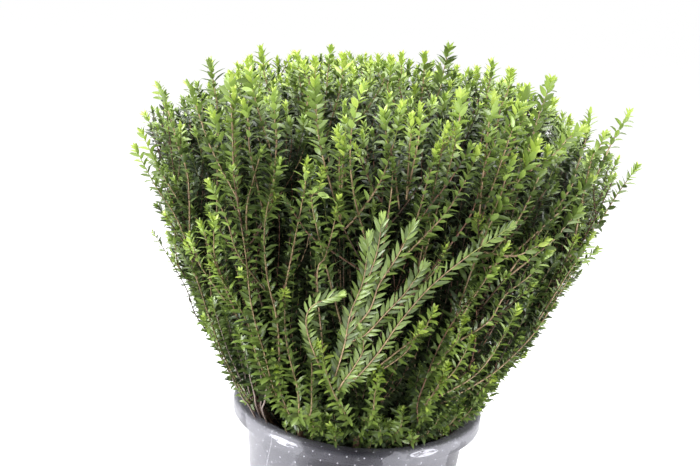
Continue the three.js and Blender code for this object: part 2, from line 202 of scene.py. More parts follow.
class Value:
    """A number that varies over a surface. Arithmetic on it adds Math nodes."""

    def __init__(self, finish, socket):
        self.finish = finish
        self.socket = socket

    def math(self, operation, *operands):
        inputs = dict(enumerate((self, *operands)))
        return self.finish.value("ShaderNodeMath", {"operation": operation}, inputs)

    def flipped(self, operation, other):
        return self.finish.value("ShaderNodeMath", {"operation": operation}, {0: other, 1: self})

    def __add__(self, other):
        return self.math("ADD", other)

    def __mul__(self, other):
        return self.math("MULTIPLY", other)

    def __sub__(self, other):
        return self.math("SUBTRACT", other)

    def __truediv__(self, other):
        return self.math("DIVIDE", other)

    def __pow__(self, other):
        return self.math("POWER", other)

    def __gt__(self, other):
        return self.math("GREATER_THAN", other)

    def __lt__(self, other):
        return self.math("LESS_THAN", other)

    def __rsub__(self, other):
        return self.flipped("SUBTRACT", other)

    def __rtruediv__(self, other):
        return self.flipped("DIVIDE", other)

    __radd__ = __add__
    __rmul__ = __mul__

    def size(self):
        return self.math("ABSOLUTE")

    def fraction(self):
        return self.math("FRACT")

    def least(self, other):
        return self.math("MINIMUM", other)

    def most(self, other):
        return self.math("MAXIMUM", other)

    def ramp(self, low, high):
        """0 up to low and 1 from high on, with a soft step between."""
        settings = {"interpolation_type": "SMOOTHSTEP"}
        return self.finish.value("ShaderNodeMapRange", settings, {0: self, 1: low, 2: high})


class Finish:
    """A material: one shader, and the nodes that vary what feeds it."""

    def __init__(self, name, colour, roughness, **uniform):
        self.material = bpy.data.materials.new(name)
        self.material.use_nodes = True
        self.tree = self.material.node_tree
        self.shader = self.tree.nodes["Principled BSDF"]
        self.shader.inputs["Base Color"].default_value = (*linear(colour), 1)
        self.shader.inputs["Roughness"].default_value = roughness
        for name, value in uniform.items():
            socket = name.replace("_", " ").title().replace("Ior", "IOR")
            self.shader.inputs[socket].default_value = value

    def node(self, kind, settings=None, inputs=None):
        """Adds a node: its settings first, and then its sockets' values or links."""
        node = self.tree.nodes.new(kind)
        for name, value in (settings or {}).items():
            setattr(node, name, value)
        for key, value in (inputs or {}).items():
            self.feed(node.inputs[key], value)
        return node

    def feed(self, socket, value):
        if isinstance(value, Value):
            value = value.socket
        if isinstance(value, bpy.types.NodeSocket):
            self.tree.links.new(value, socket)
        else:
            socket.default_value = value

    def value(self, kind, settings=None, inputs=None, output=0):
        return Value(self, self.node(kind, settings, inputs).outputs[output])

    def place(self):
        """The point's place on the object, in metres."""
        return self.node("ShaderNodeTexCoord").outputs["Object"]

    def noise(self, scale, detail=3, roughness=0.55, stretch=None):
        """Cloudy noise of a scale in blobs per metre, drawn out along an axis by stretch."""
        place = self.place()
        if stretch:
            place = self.node("ShaderNodeMapping", None, {"Vector": place, "Scale": stretch}).outputs[0]
        inputs = {"Vector": place, "Scale": scale, "Detail": detail, "Roughness": roughness}
        return self.value("ShaderNodeTexNoise", {"noise_dimensions": "3D"}, inputs)

    def cells(self, scale, place=None, feature="F1", output=0):
        """How far a point is from the middle or the edge of its cell, or the cell's own colour."""
        inputs = {"Vector": self.place() if place is None else place, "Scale": scale}
        return self.value("ShaderNodeTexVoronoi", {"feature": feature}, inputs, output)

    def mix(self, factor, first, second):
        """A colour between two others."""
        settings = {"data_type": "RGBA"}
        inputs = {0: factor}
        for key, colour in ((6, first), (7, second)):
            inputs[key] = (*linear(colour), 1) if isinstance(colour, tuple) else colour
        return self.node("ShaderNodeMix", settings, inputs).outputs[2]

    def colour(self, value):
        self.feed(self.shader.inputs["Base Color"], value)

    def roughness(self, value):
        self.feed(self.shader.inputs["Roughness"], value)

    def relief(self, height, depth):
        """Relief of a depth in millimetres where height goes from 0 to 1."""
        inputs = {"Height": height, "Distance": depth * MM, "Strength": 1.0}
        bump = self.node("ShaderNodeBump", None, inputs)
        self.feed(self.shader.inputs["Normal"], bump.outputs[0])


def pot_finish():
    """Satin slate plastic with faint flow marks, scuffs and dust."""
    finish = Finish("slate_plastic", (36, 35, 44), 0.34, specular_ior_level=0.4)
    clouds = finish.noise(9, 4)
    streaks = finish.noise(60, 2, stretch=(1, 1, 0.08))
    finish.colour(finish.mix((clouds * 0.7 + streaks * 0.3).ramp(0.3, 0.75), (30, 29, 38), (46, 44, 54)))
    scuffs = finish.noise(140, 5, 0.7).ramp(0.55, 0.8)
    finish.roughness(0.28 + clouds * 0.12 + scuffs * 0.2)
    finish.relief(finish.noise(50, 2), 0.05)
    return finish.material


def soil_finish():
    """Moist, dark potting mix with pale bits of bark and grit."""
    finish = Finish("moist_soil", (46, 32, 24), 0.92)
    crumbs = finish.noise(160, 6, 0.7)
    bits = finish.cells(260).ramp(0.2, 0.1)
    ground = finish.mix(crumbs.ramp(0.35, 0.7), (28, 20, 15), (70, 50, 36))
    finish.colour(finish.mix(bits * crumbs.ramp(0.5, 0.62), ground, (120, 96, 70)))
    finish.roughness(0.8 + crumbs * 0.18)
    finish.relief(crumbs, 2.2)
    return finish.material


def bark_finish(name, pale, dark, depth):
    """Bark with long shallow cracks, which run up the limbs, and darker patches."""
    finish = Finish(name, pale, 0.8)
    cracks = finish.noise(420, 4, 0.65, stretch=(1, 1, 0.16))
    patches = finish.noise(38, 3)
    finish.colour(finish.mix((cracks * 0.65 + patches * 0.45).ramp(0.38, 0.72), dark, pale))
    finish.roughness(0.68 + cracks * 0.2)
    finish.relief(cracks, depth)
    return finish.material


def stem_finish(name, pale, dark):
    """Young stems: smooth, with faint lengthwise streaks."""
    finish = Finish(name, pale, 0.55)
    streaks = finish.noise(300, 3, 0.6, stretch=(1, 1, 0.2))
    finish.colour(finish.mix(streaks.ramp(0.35, 0.65), dark, pale))
    finish.roughness(0.45 + streaks * 0.2)
    return finish.material


def leaf_finish(name, tint, roughness, coat):
    """Leathery leaf: one plain tint, waxed, and finely pitted so that its gloss varies."""
    sheen = 0.5 if coat else 0.25
    finish = Finish(name, tint, roughness, coat_weight=coat, coat_roughness=0.3, specular_ior_level=sheen)
    pits = finish.noise(900, 2)
    finish.roughness(roughness - 0.06 + pits * 0.12)
    return finish.material


# Meshes


def place_in_scene(name, data):
    thing = bpy.data.objects.new(name, data)
    bpy.context.scene.collection.objects.link(thing)
    return thing


def add_piece(name, mesh, material, replaced):
    mesh.materials.append(material)
    piece = place_in_scene(name, mesh)
    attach(piece, "root")
    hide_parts(*replaced)


def mesh_of(name, bm):
    """A smooth mesh in metres from a finished bmesh in millimetres."""
    bmesh.ops.remove_doubles(bm, verts=bm.verts, dist=0.001)
    bmesh.ops.recalc_face_normals(bm, faces=bm.faces)
    bmesh.ops.scale(bm, vec=(MM, MM, MM), verts=bm.verts)
    mesh = bpy.data.meshes.new(name)
    bm.to_mesh(mesh)
    bm.free()
    mesh.polygons.foreach_set("use_smooth", [True] * len(mesh.polygons))
    return mesh


def mesh_from_arrays(name, points, triangles):
    """A smooth mesh of many small parts, from points in millimetres and triangles of their numbers."""
    count = len(triangles)
    mesh = bpy.data.meshes.new(name)
    mesh.vertices.add(len(points))
    mesh.vertices.foreach_set("co", (points * MM).astype(np.float32).ravel())
    mesh.loops.add(count * 3)
    mesh.loops.foreach_set("vertex_index", triangles.astype(np.int32).ravel())
    mesh.polygons.add(count)
    mesh.polygons.foreach_set("loop_start", np.arange(0, count * 3, 3, dtype=np.int32))
    mesh.polygons.foreach_set("use_smooth", np.ones(count, dtype=bool))
    mesh.update(calc_edges=True)
    mesh.validate()
    return mesh


def arc(centre, radius, first, last, steps):
    """Points on an arc of a profile, from one turn in degrees to another."""
    turns = [math.radians(between((first, last), step / steps)) for step in range(steps + 1)]
    return [(centre[0] + radius * math.cos(t), centre[1] + radius * math.sin(t)) for t in turns]


def spun(profile, steps):
    """A round body from a profile of radii and heights, which closes on the axis or on itself."""
    bm = bmesh.new()
    verts = [bm.verts.new((r, 0, z)) for r, z in profile]
    edges = [bm.edges.new(pair) for pair in zip(verts, verts[1:])]
    bmesh.ops.spin(
        bm,
        geom=verts + edges,
        cent=(0, 0, 0),
        axis=(0, 0, 1),
        angle=2 * math.pi,
        steps=steps,
        use_merge=True,
    )
    return bm


# Pot and soil


def make_pot():
    """The bucket with its rolled brim: a bead that turns down outside a short skirt."""
    inner_neck = POT_NECK_RADIUS - POT_WALL
    skirt = 1.6
    profile = [
        (0, 0),
        *arc((POT_FOOT_RADIUS - 3, 3), 3, -90, 0, 4),
        (POT_FOOT_RADIUS + 8, 90),
        (POT_FOOT_RADIUS + 16, 180),
        (POT_NECK_RADIUS - 0.4, POT_HEIGHT - BRIM_DEPTH - 2),
        *arc((POT_NECK_RADIUS + 2, POT_HEIGHT - 8), 2, 180, 90, 3),
        (BRIM_RADIUS - 3.4, POT_HEIGHT - 5.4),
        (BRIM_RADIUS - skirt - 0.4, POT_HEIGHT - BRIM_DEPTH + 0.4),
        *arc((BRIM_RADIUS - skirt / 2, POT_HEIGHT - BRIM_DEPTH + 0.8), skirt / 2, 200, 360, 4),
        *arc((BRIM_RADIUS - 4, POT_HEIGHT - 4), 4, 0, 90, 7),
        (inner_neck + 5, POT_HEIGHT),
        *arc((inner_neck + 4, POT_HEIGHT - 4), 4, 90, 180, 5)[1:],
        (POT_FOOT_RADIUS - POT_WALL, POT_FLOOR),
        (0, POT_FLOOR),
    ]
    mesh = mesh_of("pot_shell", spun(profile, 160))
    add_piece("pot_shell", mesh, pot_finish(), ["pot"])


def make_soil():
    """The soil: a plug whose top is heaped a little and crumbly."""
    bottom = POT_FLOOR + 0.3
    top = POT_HEIGHT - SOIL_BELOW_BRIM
    low_radius = POT_FOOT_RADIUS - POT_WALL - 1
    high_radius = POT_NECK_RADIUS - POT_WALL - 4.5
    rings = 26
    profile = [(0, bottom), (low_radius, bottom)]
    profile += [(high_radius * (rings - ring) / rings, top) for ring in range(rings + 1)]
    bm = spun(profile, 120)
    for vert in bm.verts:
        if vert.co.z > top - 0.1:
            edge = min(1.0, (high_radius - vert.co.xy.length) / 14)
            lumps = noise.noise(vert.co * 0.06) * 2.2 + noise.noise(vert.co * 0.21) * 1.3
            vert.co.z += (lumps - 2.2) * edge
    bmesh.ops.triangulate(bm, faces=bm.faces)
    mesh = mesh_of("soil_bed", bm)
    add_piece("soil_bed", mesh, soil_finish(), ["potting_soil"])


# Limbs, by the source's rule


def lean(run, side, angle):
    return run * math.cos(angle) + side * math.sin(angle)


def side_of(run, azimuth, turn):
    outward = Vector((math.cos(azimuth), math.sin(azimuth), 0))
    across = run.cross(outward).normalized()
    out = across.cross(run).normalized()
    return out * math.cos(turn) + across * math.sin(turn)


def mass_name(ring, sector):
    return f"{ring.name}_{sector + 1}" if ring.count > 1 else ring.name


def grow_mass(ring_index, sector):
    """One mass by the source's rule: where its bough ends, its leader's line and its twigs."""
    ring = RINGS[ring_index]
    outermost = ring.end == 1
    width = 2 * math.pi / ring.count
    azimuth = sector * width
    start = BARE_START if outermost and sector == BARE_SECTOR else FOLIAGE_START
    borders = []
    for sign in (1, -1) if ring.count > 1 else ():
        border = azimuth + sign * width / 2
        borders.append(Vector((-sign * math.sin(border), sign * math.cos(border), 0)))

    def holds(point):
        radius = math.hypot(point.x, point.y)
        height = point.z - POT_HEIGHT
        reach = reach_at(height)
        outer_limit = reach + STRAY_REACH + TIP_ROOM if outermost else ring.end * reach - CELL_GAP
        inner_limit = ring.start * reach + CELL_GAP + CURVE_ALLOWANCE if ring.start > 0 else -1
        return (
            height > start + FOOT_ROOM
            and height < dome_at(min(radius, WIDEST_REACH)) + TIP_ROOM
            and inner_limit < radius < outer_limit
            and all(border.dot(point) < -CELL_GAP for border in borders)
        )

    stray = math.sin(STRAY_STEP * sector + 1) if outermost else 0
    tip_share = 0.98 + STRAY_REACH / WIDEST_REACH * max(0, stray) if outermost else ring.leader
    tip_height = dome_at(min(tip_share, 1) * WIDEST_REACH) - LEADER_BELOW_DOME - STRAY_DROP * stray

    def leader(share):
        across = between((ring.leader, tip_share), share**2)
        return crown_point(across, azimuth, between((start, tip_height), share))

    def run_at(share):
        return (leader(share + 0.01) - leader(share - 0.01)).normalized()

    draw = seeded_draw(SEED + 97 * sector + 1009 * ring_index)
    twigs = []
    for i in range(ring.twigs):
        place = (i + 0.5 + TWIG_WANDER * (draw() - 0.5)) / ring.twigs
        share = between((ring.lowest, HIGHEST_TWIG), place)
        spread = math.pi if share > CROWN_TOP else ring.fan
        turn = spread * (2 * ((i * GOLDEN_SHARE) % 1) - 1) + TWIG_WANDER * (draw() - 0.5)
        length = TWIG_LENGTH * between(TWIG_SIZES, draw())
        foot = leader(share)
        run = run_at(share)
        direction = lean(run, side_of(run, azimuth, turn), TWIG_ANGLE)
        size = length
        while size > length * SHORTEST_TWIG and not holds(foot + direction * size):
            size *= TWIG_SHRINK
        if size <= length * SHORTEST_TWIG:
            continue
        twigs.append((foot, foot + direction * size, run))
        for _ in range(1 + LEAF_PAIRS_ON_TWIG):
            draw()
    return SimpleNamespace(
        name=mass_name(ring, sector),
        ring=ring,
        azimuth=azimuth,
        start=start,
        leader=leader,
        run_at=run_at,
        twigs=twigs,
    )


def grow_limb(bm, centres, radii, sides):
    """A round limb, drawn out ring by ring along a row of centres and rounded off at its tip."""
    runs = [
        (centres[min(i + 1, len(centres) - 1)] - centres[max(i - 1, 0)]).normalized()
        for i in range(len(centres))
    ]
    turn = UP.rotation_difference(runs[0]).to_matrix().to_4x4()
    made = bmesh.ops.create_circle(
        bm,
        cap_ends=True,
        radius=radii[0],
        segments=sides,
        matrix=Matrix.Translation(centres[0]) @ turn,
    )
    ring = made["verts"]
    edges = list({edge for vert in ring for edge in vert.link_edges if edge.other_vert(vert) in ring})
    for i in range(1, len(centres)):
        drawn = bmesh.ops.extrude_edge_only(bm, edges=edges)["geom"]
        ring = [item for item in drawn if isinstance(item, bmesh.types.BMVert)]
        edges = [
            item
            for item in drawn
            if isinstance(item, bmesh.types.BMEdge) and item.verts[0] in ring and item.verts[1] in ring
        ]
        swing = runs[i - 1].rotation_difference(runs[i]).to_matrix() * (radii[i] / radii[i - 1])
        for vert in ring:
            vert.co = centres[i] + swing @ (vert.co - centres[i - 1])
    bmesh.ops.contextual_create(bm, geom=edges)


def roughen(bm, depth, scale):
    """Swellings and ridges in a limb's surface, drawn out along the limb."""
    bm.normal_update()
    for vert in bm.verts:
        place = Vector((vert.co.x * scale, vert.co.y * scale, vert.co.z * scale * 0.3))
        vert.co += vert.normal * depth * noise.noise(place)


def bough_line(share, azimuth, tip_height, foot_radius, tip_radius, steps=9):
    """A bough's centres and radii, flared where it stands on the soil."""
    foot = -SOIL_BELOW_BRIM - 2
    centres = []
    radii = []
    for step in range(steps + 1):
        rise = step / steps
        centres.append(crown_point(share, azimuth, between((foot, tip_height), rise)))
        flare = 0.5 * max(0.0, 1 - rise * 5) ** 1.5
        radii.append(between((foot_radius, tip_radius), rise) * (1 + flare))
    return centres, radii


def make_boughs(masses):
    bm = bmesh.new()
    for mass in masses:
        radii = (BOUGH_FOOT_RADIUS, BOUGH_TIP_RADIUS)
        grow_limb(bm, *bough_line(mass.ring.leader, mass.azimuth, mass.start + 1, *radii), 10)
    long_edges = [edge for edge in bm.edges if edge.calc_length() > 5]
    bmesh.ops.subdivide_edges(bm, edges=long_edges, cuts=1, use_grid_fill=True)
    roughen(bm, 0.7, 0.45)
    names = [f"bough_{mass.name}" for mass in masses]
    finish = bark_finish("old_bark", (128, 98, 76), (60, 42, 32), 0.7)
    add_piece("boughs", mesh_of("boughs", bm), finish, names)


def bare_stem_lines():
    azimuth = BARE_SECTOR * 2 * math.pi / RINGS[2].count
    lines = []
    for stem in range(BARE_STEMS):
        offset = stem - (BARE_STEMS - 1) / 2
        share = RINGS[2].leader + BARE_STEM_SHARES[stem % 2]
        turn = azimuth + BARE_STEM_STEP * (offset + math.copysign(0.5, offset))
        lines.append((share, turn))
    return lines


def make_bare_stems():
    """The brown stems whose feet are bare at the left of the brim. They go on up into the foliage."""
    bm = bmesh.new()
    for share, turn in bare_stem_lines():
        centres, radii = bough_line(share, turn, BARE_START + 60, BARE_STEM_RADIUS, 1.2, steps=14)
        grow_limb(bm, centres, radii, 8)
    roughen(bm, 0.35, 0.6)
    names = [f"bare_stem_{stem + 1}" for stem in range(BARE_STEMS)]
    finish = bark_finish("bare_stem_bark", (150, 118, 98), (92, 66, 52), 0.4)
    add_piece("bare_stems", mesh_of("bare_stems", bm), finish, names)


def drawn_in(point):
    """A limb's point moved inwards, so that the leaves on the limb end where the source's limb ends."""
    height = point.z - POT_HEIGHT
    share = 1 - LEAF_REACH / WIDEST_REACH * min(1, max(0, height) / 100)
    drop = LEAF_REACH * max(0, height) / CROWN_HEIGHT
    return Vector((point.x * share, point.y * share, point.z - drop))


def leader_line(mass):
    return [drawn_in(mass.leader(step / LEADER_STEPS)) for step in range(LEADER_STEPS + 1)]


def twig_ends(twig):
    """A twig's foot and tip, both inside the crown's reach."""
    foot, tip = drawn_in(twig[0]), drawn_in(twig[1])
    over = tip.xy.length / max(1, 0.93 * reach_at(tip.z - POT_HEIGHT))
    if over > 1:
        tip = Vector((tip.x / over, tip.y / over, tip.z))
    return foot, tip


def twig_line(twig):
    """A twig from its foot to its tip, bowed a little so that it bends upwards."""
    foot, tip = twig_ends(twig)
    bow = twig[2] * (foot - tip).length * 0.06
    line = []
    for step in range(TWIG_STEPS + 1):
        bowed = bow * math.sin(math.pi * step / TWIG_STEPS)
        line.append(foot.lerp(tip, step / TWIG_STEPS) - bowed)
    return line


def make_leaders(masses):
    """The leaders and twigs, which carry all the shoots."""
    bm = bmesh.new()
    for mass in masses:
        rises = [step / LEADER_STEPS for step in range(LEADER_STEPS + 1)]
        radii = [between((BOUGH_TIP_RADIUS, 0.5), rise**0.45) for rise in rises]
        grow_limb(bm, leader_line(mass), radii, 8)
        for twig in mass.twigs:
            radii = [between((1.0, 0.45), step / TWIG_STEPS) for step in range(TWIG_STEPS + 1)]
            grow_limb(bm, twig_line(twig), radii, 6)
    roughen(bm, 0.2, 0.6)
    names = [f"foliage_{mass.name}" for mass in masses]
    finish = bark_finish("twig_bark", (112, 86, 68), (60, 44, 34), 0.3)
    add_piece("leaders_and_twigs", mesh_of("leaders_and_twigs", bm), finish, names)


# Shoots

LOOKS = {
    "column": {"colour": "tan", "spacing": 4.4, "thickness": 1.2, "oldest": 2.7},
    "red": {"colour": "red", "spacing": 4.8, "thickness": 1.05, "oldest": 3.4},
    "spray": {"colour": "tan", "spacing": 6.6, "flat": True, "tone": 2.8, "thickness": 1.15},
    "dark": {"colour": "brown", "spacing": 7, "thickness": 0.8, "oldest": 4},
    "bare": {"colour": "grey", "spacing": 6, "thickness": 1.5, "oldest": 4, "leafy": 0.5},
}

# The strands that show in front and at the crown's edge, with places on the photograph. A
# row has a look, a leaf's length, the vigour, how far the strand may rise over the dome, and then its
# places in pixels from its tip down
STRANDS = [
    ("column", 10.6, 0.8, 16, (158, 85), (165, 97), (170, 115), (175, 135), (181, 155), (188, 180)),
    ("column", 10.6, 0.9, 16, (141, 132), (149, 149), (158, 168), (166, 183), (178, 199), (190, 214),
        (205, 236)),
    ("column", 10.6, 0.9, 16, (135, 147), (144, 164), (152, 181), (165, 197), (176, 217), (184, 239),
        (192, 262)),
    ("column", 11.6, 0.5, 16, (189, 85), (194, 103), (198, 113), (206, 130), (212, 150)),
    ("column", 14.5, 0.4, 26, (211, 64), (213, 81), (215, 100), (218, 118)),
    ("column", 13.5, 0.8, 26, (211, 111), (215, 131), (220, 148), (225, 164), (231, 176), (239, 193),
        (246, 210), (244, 233), (245, 254), (249, 287), (252, 307), (259, 331), (262, 346), (269, 367),
        (277, 396)),
    ("column", 11.6, 0.3, 16, (262, 149), (258, 165), (252, 183), (251, 197), (247, 209)),
    ("column", 12.6, 0.6, 16, (280, 162), (277, 169), (272, 183), (267, 205), (264, 231), (265, 263),
        (269, 285), (273, 308), (277, 322)),
    ("dark", 6.8, 0.5, 16, (153, 233), (163, 249), (172, 261), (178, 273), (185, 286), (191, 300),
        (199, 320)),
    ("column", 12.6, 0.9, 16, (209, 184), (219, 203), (228, 222), (233, 238), (240, 258)),
    ("column", 11.6, 0.9, 16, (214, 220), (215, 231), (213, 244), (216, 260)),
    ("column", 11.6, 0.9, 16, (189, 236), (195, 252), (203, 270)),
    ("column", 11.6, 0.9, 16, (200, 223), (207, 240), (213, 258)),
    ("column", 12.6, 0.9, 16, (211, 265), (221, 279), (228, 289), (241, 310), (248, 324), (252, 340),
        (257, 357), (267, 382), (276, 398)),
    ("column", 10.6, 0.5, 16, (168, 235), (178, 251), (189, 263), (195, 275), (199, 287), (205, 305),
        (214, 330), (226, 362), (240, 387), (251, 403)),
    ("column", 12.6, 0.7, 26, (234, 93), (233, 111), (234, 131), (235, 148)),
    ("column", 15.5, 0.5, 31, (250, 74), (254, 93), (260, 116), (266, 141), (271, 157)),
    ("column", 12.6, 0.6, 16, (247, 64), (248, 80), (250, 95)),
    ("column", 12.6, 0.9, 16, (261, 50), (263, 62), (266, 80)),
    ("column", 12.6, 0.6, 26, (244, 105), (249, 121), (248, 134), (250, 150)),
    ("column", 12.6, 0.5, 26, (274, 94), (278, 106), (274, 124), (276, 145)),
    ("column", 12.6, 0.5, 16, (331, 50), (329, 65), (327, 82), (326, 98)),
    ("column", 12.6, 0.6, 16, (297, 56), (299, 72), (301, 90)),
    ("column", 12.6, 0.9, 16, (304, 64), (306, 80), (308, 95)),
    ("column", 12.6, 0.9, 16, (315, 61), (315, 76), (314, 92)),
    ("column", 12.6, 0.9, 16, (343, 57), (342, 72), (341, 88)),
    ("column", 15.5, 0.4, 31, (315, 84), (319, 103), (317, 123), (320, 136), (323, 157)),
    ("column", 12.6, 0.95, 26, (364, 86), (358, 106), (354, 116), (351, 130), (351, 148), (350, 165),
        (353, 182), (358, 212)),
    ("column", 12.6, 0.9, 16, (402, 106), (396, 126), (394, 142), (389, 155), (381, 180), (370, 196),
        (359, 213)),
    ("column", 15.5, 0.4, 16, (384, 115), (388, 143), (393, 160)),
    ("column", 10.6, 0.4, 16, (393, 160), (391, 191), (389, 210), (388, 220)),
    ("column", 12.6, 0.7, 16, (378, 59), (379, 74), (380, 90)),
    ("column", 12.6, 0.7, 16, (391, 61), (391, 78), (390, 94)),
    ("column", 12.6, 0.7, 16, (402, 57), (401, 74), (400, 90)),
    ("column", 12.6, 0.6, 16, (425, 56), (424, 72), (422, 90)),
    ("column", 11.6, 0.95, 16, (337, 134), (339, 148), (340, 165)),
    ("column", 11.6, 0.9, 16, (343, 141), (344, 158), (343, 172)),
    ("column", 15.5, 0.2, 16, (449, 49), (445, 70), (438, 88), (433, 105)),
    ("column", 11.6, 0.95, 16, (411, 117), (411, 133), (409, 150)),
    ("column", 11.6, 0.95, 16, (420, 107), (420, 125), (417, 145)),
    ("column", 11.6, 0.95, 16, (447, 127), (443, 143), (440, 158)),
    ("column", 11.6, 0.95, 16, (457, 126), (455, 142), (452, 158)),
    ("column", 11.6, 0.8, 16, (438, 147), (434, 162), (430, 174), (426, 187), (423, 199), (419, 211),
        (414, 224)),
    ("red", 12.6, 0.2, 16, (470, 148), (462, 163), (457, 170), (449, 181), (441, 192), (433, 202),
        (425, 212)),
    ("column", 12.6, 1.0, 16, (479, 148), (474, 162), (467, 176), (462, 188), (456, 199), (448, 209),
        (439, 217), (432, 225), (424, 236)),
    ("column", 11.6, 0.9, 16, (461, 92), (460, 110), (456, 128)),
    ("red", 12.6, 0.3, 16, (494, 150), (490, 165), (485, 176), (480, 189), (475, 202), (471, 215),
        (463, 230), (451, 243)),
    ("column", 15.5, 1.0, 16, (538, 144), (529, 161), (523, 172), (517, 183), (510, 190), (504, 203),
        (498, 214), (491, 228), (484, 238)),
    ("column", 14.5, 1.0, 16, (513, 158), (508, 172), (503, 184), (499, 200)),
    ("column", 12.6, 0.6, 16, (492, 64), (490, 81), (487, 98)),
    ("column", 12.6, 0.8, 16, (510, 73), (514, 82), (505, 95), (500, 110)),
    ("column", 11.6, 0.95, 16, (494, 96), (492, 112), (488, 130)),
    ("column", 11.6, 0.95, 16, (518, 106), (514, 124), (508, 142)),
    ("column", 12.6, 0.6, 16, (528, 89), (525, 105), (520, 125)),
    ("column", 11.6, 0.5, 16, (524, 106), (511, 124), (493, 150), (484, 165)),
    ("column", 11.6, 0.6, 16, (552, 80), (546, 96), (543, 105), (537, 122)),
    ("column", 10.6, 0.7, 16, (590, 113), (587, 127), (586, 140), (580, 161), (573, 179), (566, 195)),
    ("column", 10.6, 0.8, 16, (629, 113), (620, 127), (612, 143), (605, 156), (598, 172), (590, 190),
        (580, 208)),
    ("column", 11.6, 0.6, 16, (638, 167), (629, 180), (615, 197), (607, 212), (596, 226), (583, 240)),
    ("column", 10.6, 0.6, 16, (606, 134), (598, 150), (590, 165)),
    ("column", 12.6, 0.5, 16, (549, 150), (543, 167), (539, 180), (530, 194), (524, 205), (517, 222)),
    ("column", 11.6, 0.8, 16, (584, 129), (574, 134), (563, 142), (553, 155)),
    ("column", 10.6, 0.6, 16, (593, 179), (584, 187), (575, 194), (569, 203), (560, 211), (549, 222),
        (538, 231), (526, 241), (515, 251)),
    ("column", 12.6, 0.5, 16, (580, 210), (568, 223), (561, 231), (551, 243)),
    ("column", 10.6, 0.8, 16, (548, 240), (537, 247), (526, 251), (513, 256)),
    ("column", 9.7, 0.6, 16, (598, 250), (586, 258), (577, 268), (567, 279), (561, 289), (551, 310),
        (543, 320), (534, 335), (523, 349), (510, 358), (496, 368), (484, 379)),
    ("column", 10.6, 0.95, 16, (593, 235), (586, 247), (578, 260), (569, 272)),
    ("column", 10.6, 0.9, 16, (518, 308), (511, 322), (502, 338), (495, 352), (486, 363), (478, 372),
        (468, 380)),
    ("column", 11.6, 0.8, 16, (549, 251), (546, 262), (534, 273), (526, 278), (511, 289), (498, 302),
        (492, 312), (487, 322)),
    ("red", 11.6, 0.6, 16, (496, 270), (481, 283), (472, 296), (463, 307), (454, 319), (447, 331),
        (440, 345), (433, 359), (429, 371), (424, 383), (421, 397), (417, 406)),
    ("column", 12.6, 0.95, 16, (507, 246), (503, 258), (496, 266), (490, 271), (483, 278), (478, 290)),
    ("column", 11.6, 0.8, 16, (420, 327), (415, 339), (408, 348), (401, 357)),
    ("column", 11.6, 0.95, 16, (381, 372), (376, 388), (373, 403), (372, 418)),
    ("column", 10.6, 0.9, 16, (447, 365), (439, 384), (432, 395), (425, 406)),
    ("column", 12.6, 0.95, 16, (463, 319), (459, 335), (452, 346)),
    ("column", 11.6, 0.8, 16, (472, 337), (465, 355), (454, 367), (448, 378)),
    ("column", 10.6, 0.6, 16, (453, 342), (441, 359), (433, 370)),
    ("column", 12.6, 0.5, 16, (289, 271), (287, 287), (285, 300), (284, 316), (286, 335), (288, 348),
        (291, 364), (295, 379), (298, 392), (299, 413)),
    ("column", 11.6, 0.8, 16, (278, 368), (280, 383), (281, 395), (285, 404), (289, 414)),
    ("column", 11.6, 0.4, 16, (306, 330), (311, 352), (312, 370), (311, 392), (310, 415)),
    ("column", 12.6, 1.0, 16, (320, 345), (325, 366), (330, 381), (335, 397), (342, 408)),
    ("spray", 11.8, 0.9, 16, (341, 294), (328, 298), (316, 301), (311, 306), (308, 318), (308, 335)),
    ("spray", 13.4, 0.5, 16, (369, 237), (371, 249), (368, 262), (365, 273), (360, 288), (354, 305),
        (349, 318), (345, 331), (344, 348)),
    ("spray", 13.4, 0.5, 16, (382, 218), (382, 232), (379, 243), (376, 256), (371, 270)),
    ("spray", 13.4, 0.5, 16, (413, 226), (409, 237), (403, 246), (396, 259), (389, 270), (381, 281),
        (375, 290), (371, 300), (368, 312)),
    ("spray", 12.8, 0.5, 16, (424, 266), (420, 276), (412, 288), (403, 295), (394, 305), (385, 314),
        (376, 323), (365, 335)),
    ("spray", 12.8, 0.5, 16, (511, 227), (501, 231), (494, 238), (481, 246), (467, 257), (455, 266),
        (448, 271), (435, 280), (423, 295), (414, 306), (404, 316), (397, 327), (389, 338), (380, 348),
        (374, 359), (369, 367), (353, 381)),
    ("spray", 12.8, 0.5, 16, (361, 329), (365, 343), (361, 355), (357, 361), (352, 370), (343, 383)),
    ("column", 11.6, 0.7, 16, (339, 197), (337, 208), (336, 218), (332, 230), (329, 244), (323, 265),
        (317, 281)),
    ("column", 12.6, 1.0, 16, (323, 172), (321, 184), (318, 194), (313, 210)),
    ("column", 11.6, 0.9, 16, (307, 162), (305, 178), (303, 195)),
    ("red", 9.7, 0.1, 16, (284, 198), (297, 217), (306, 231), (315, 240)),
    ("column", 10.6, 1.0, 16, (446, 247), (440, 262), (432, 275)),
    ("column", 11.6, 0.9, 16, (434, 309), (428, 322), (420, 334)),
    ("column", 10.6, 0.9, 16, (442, 378), (436, 392), (428, 402)),
    ("column", 12.6, 0.6, 16, (230, 80), (230, 96), (231, 110)),
]

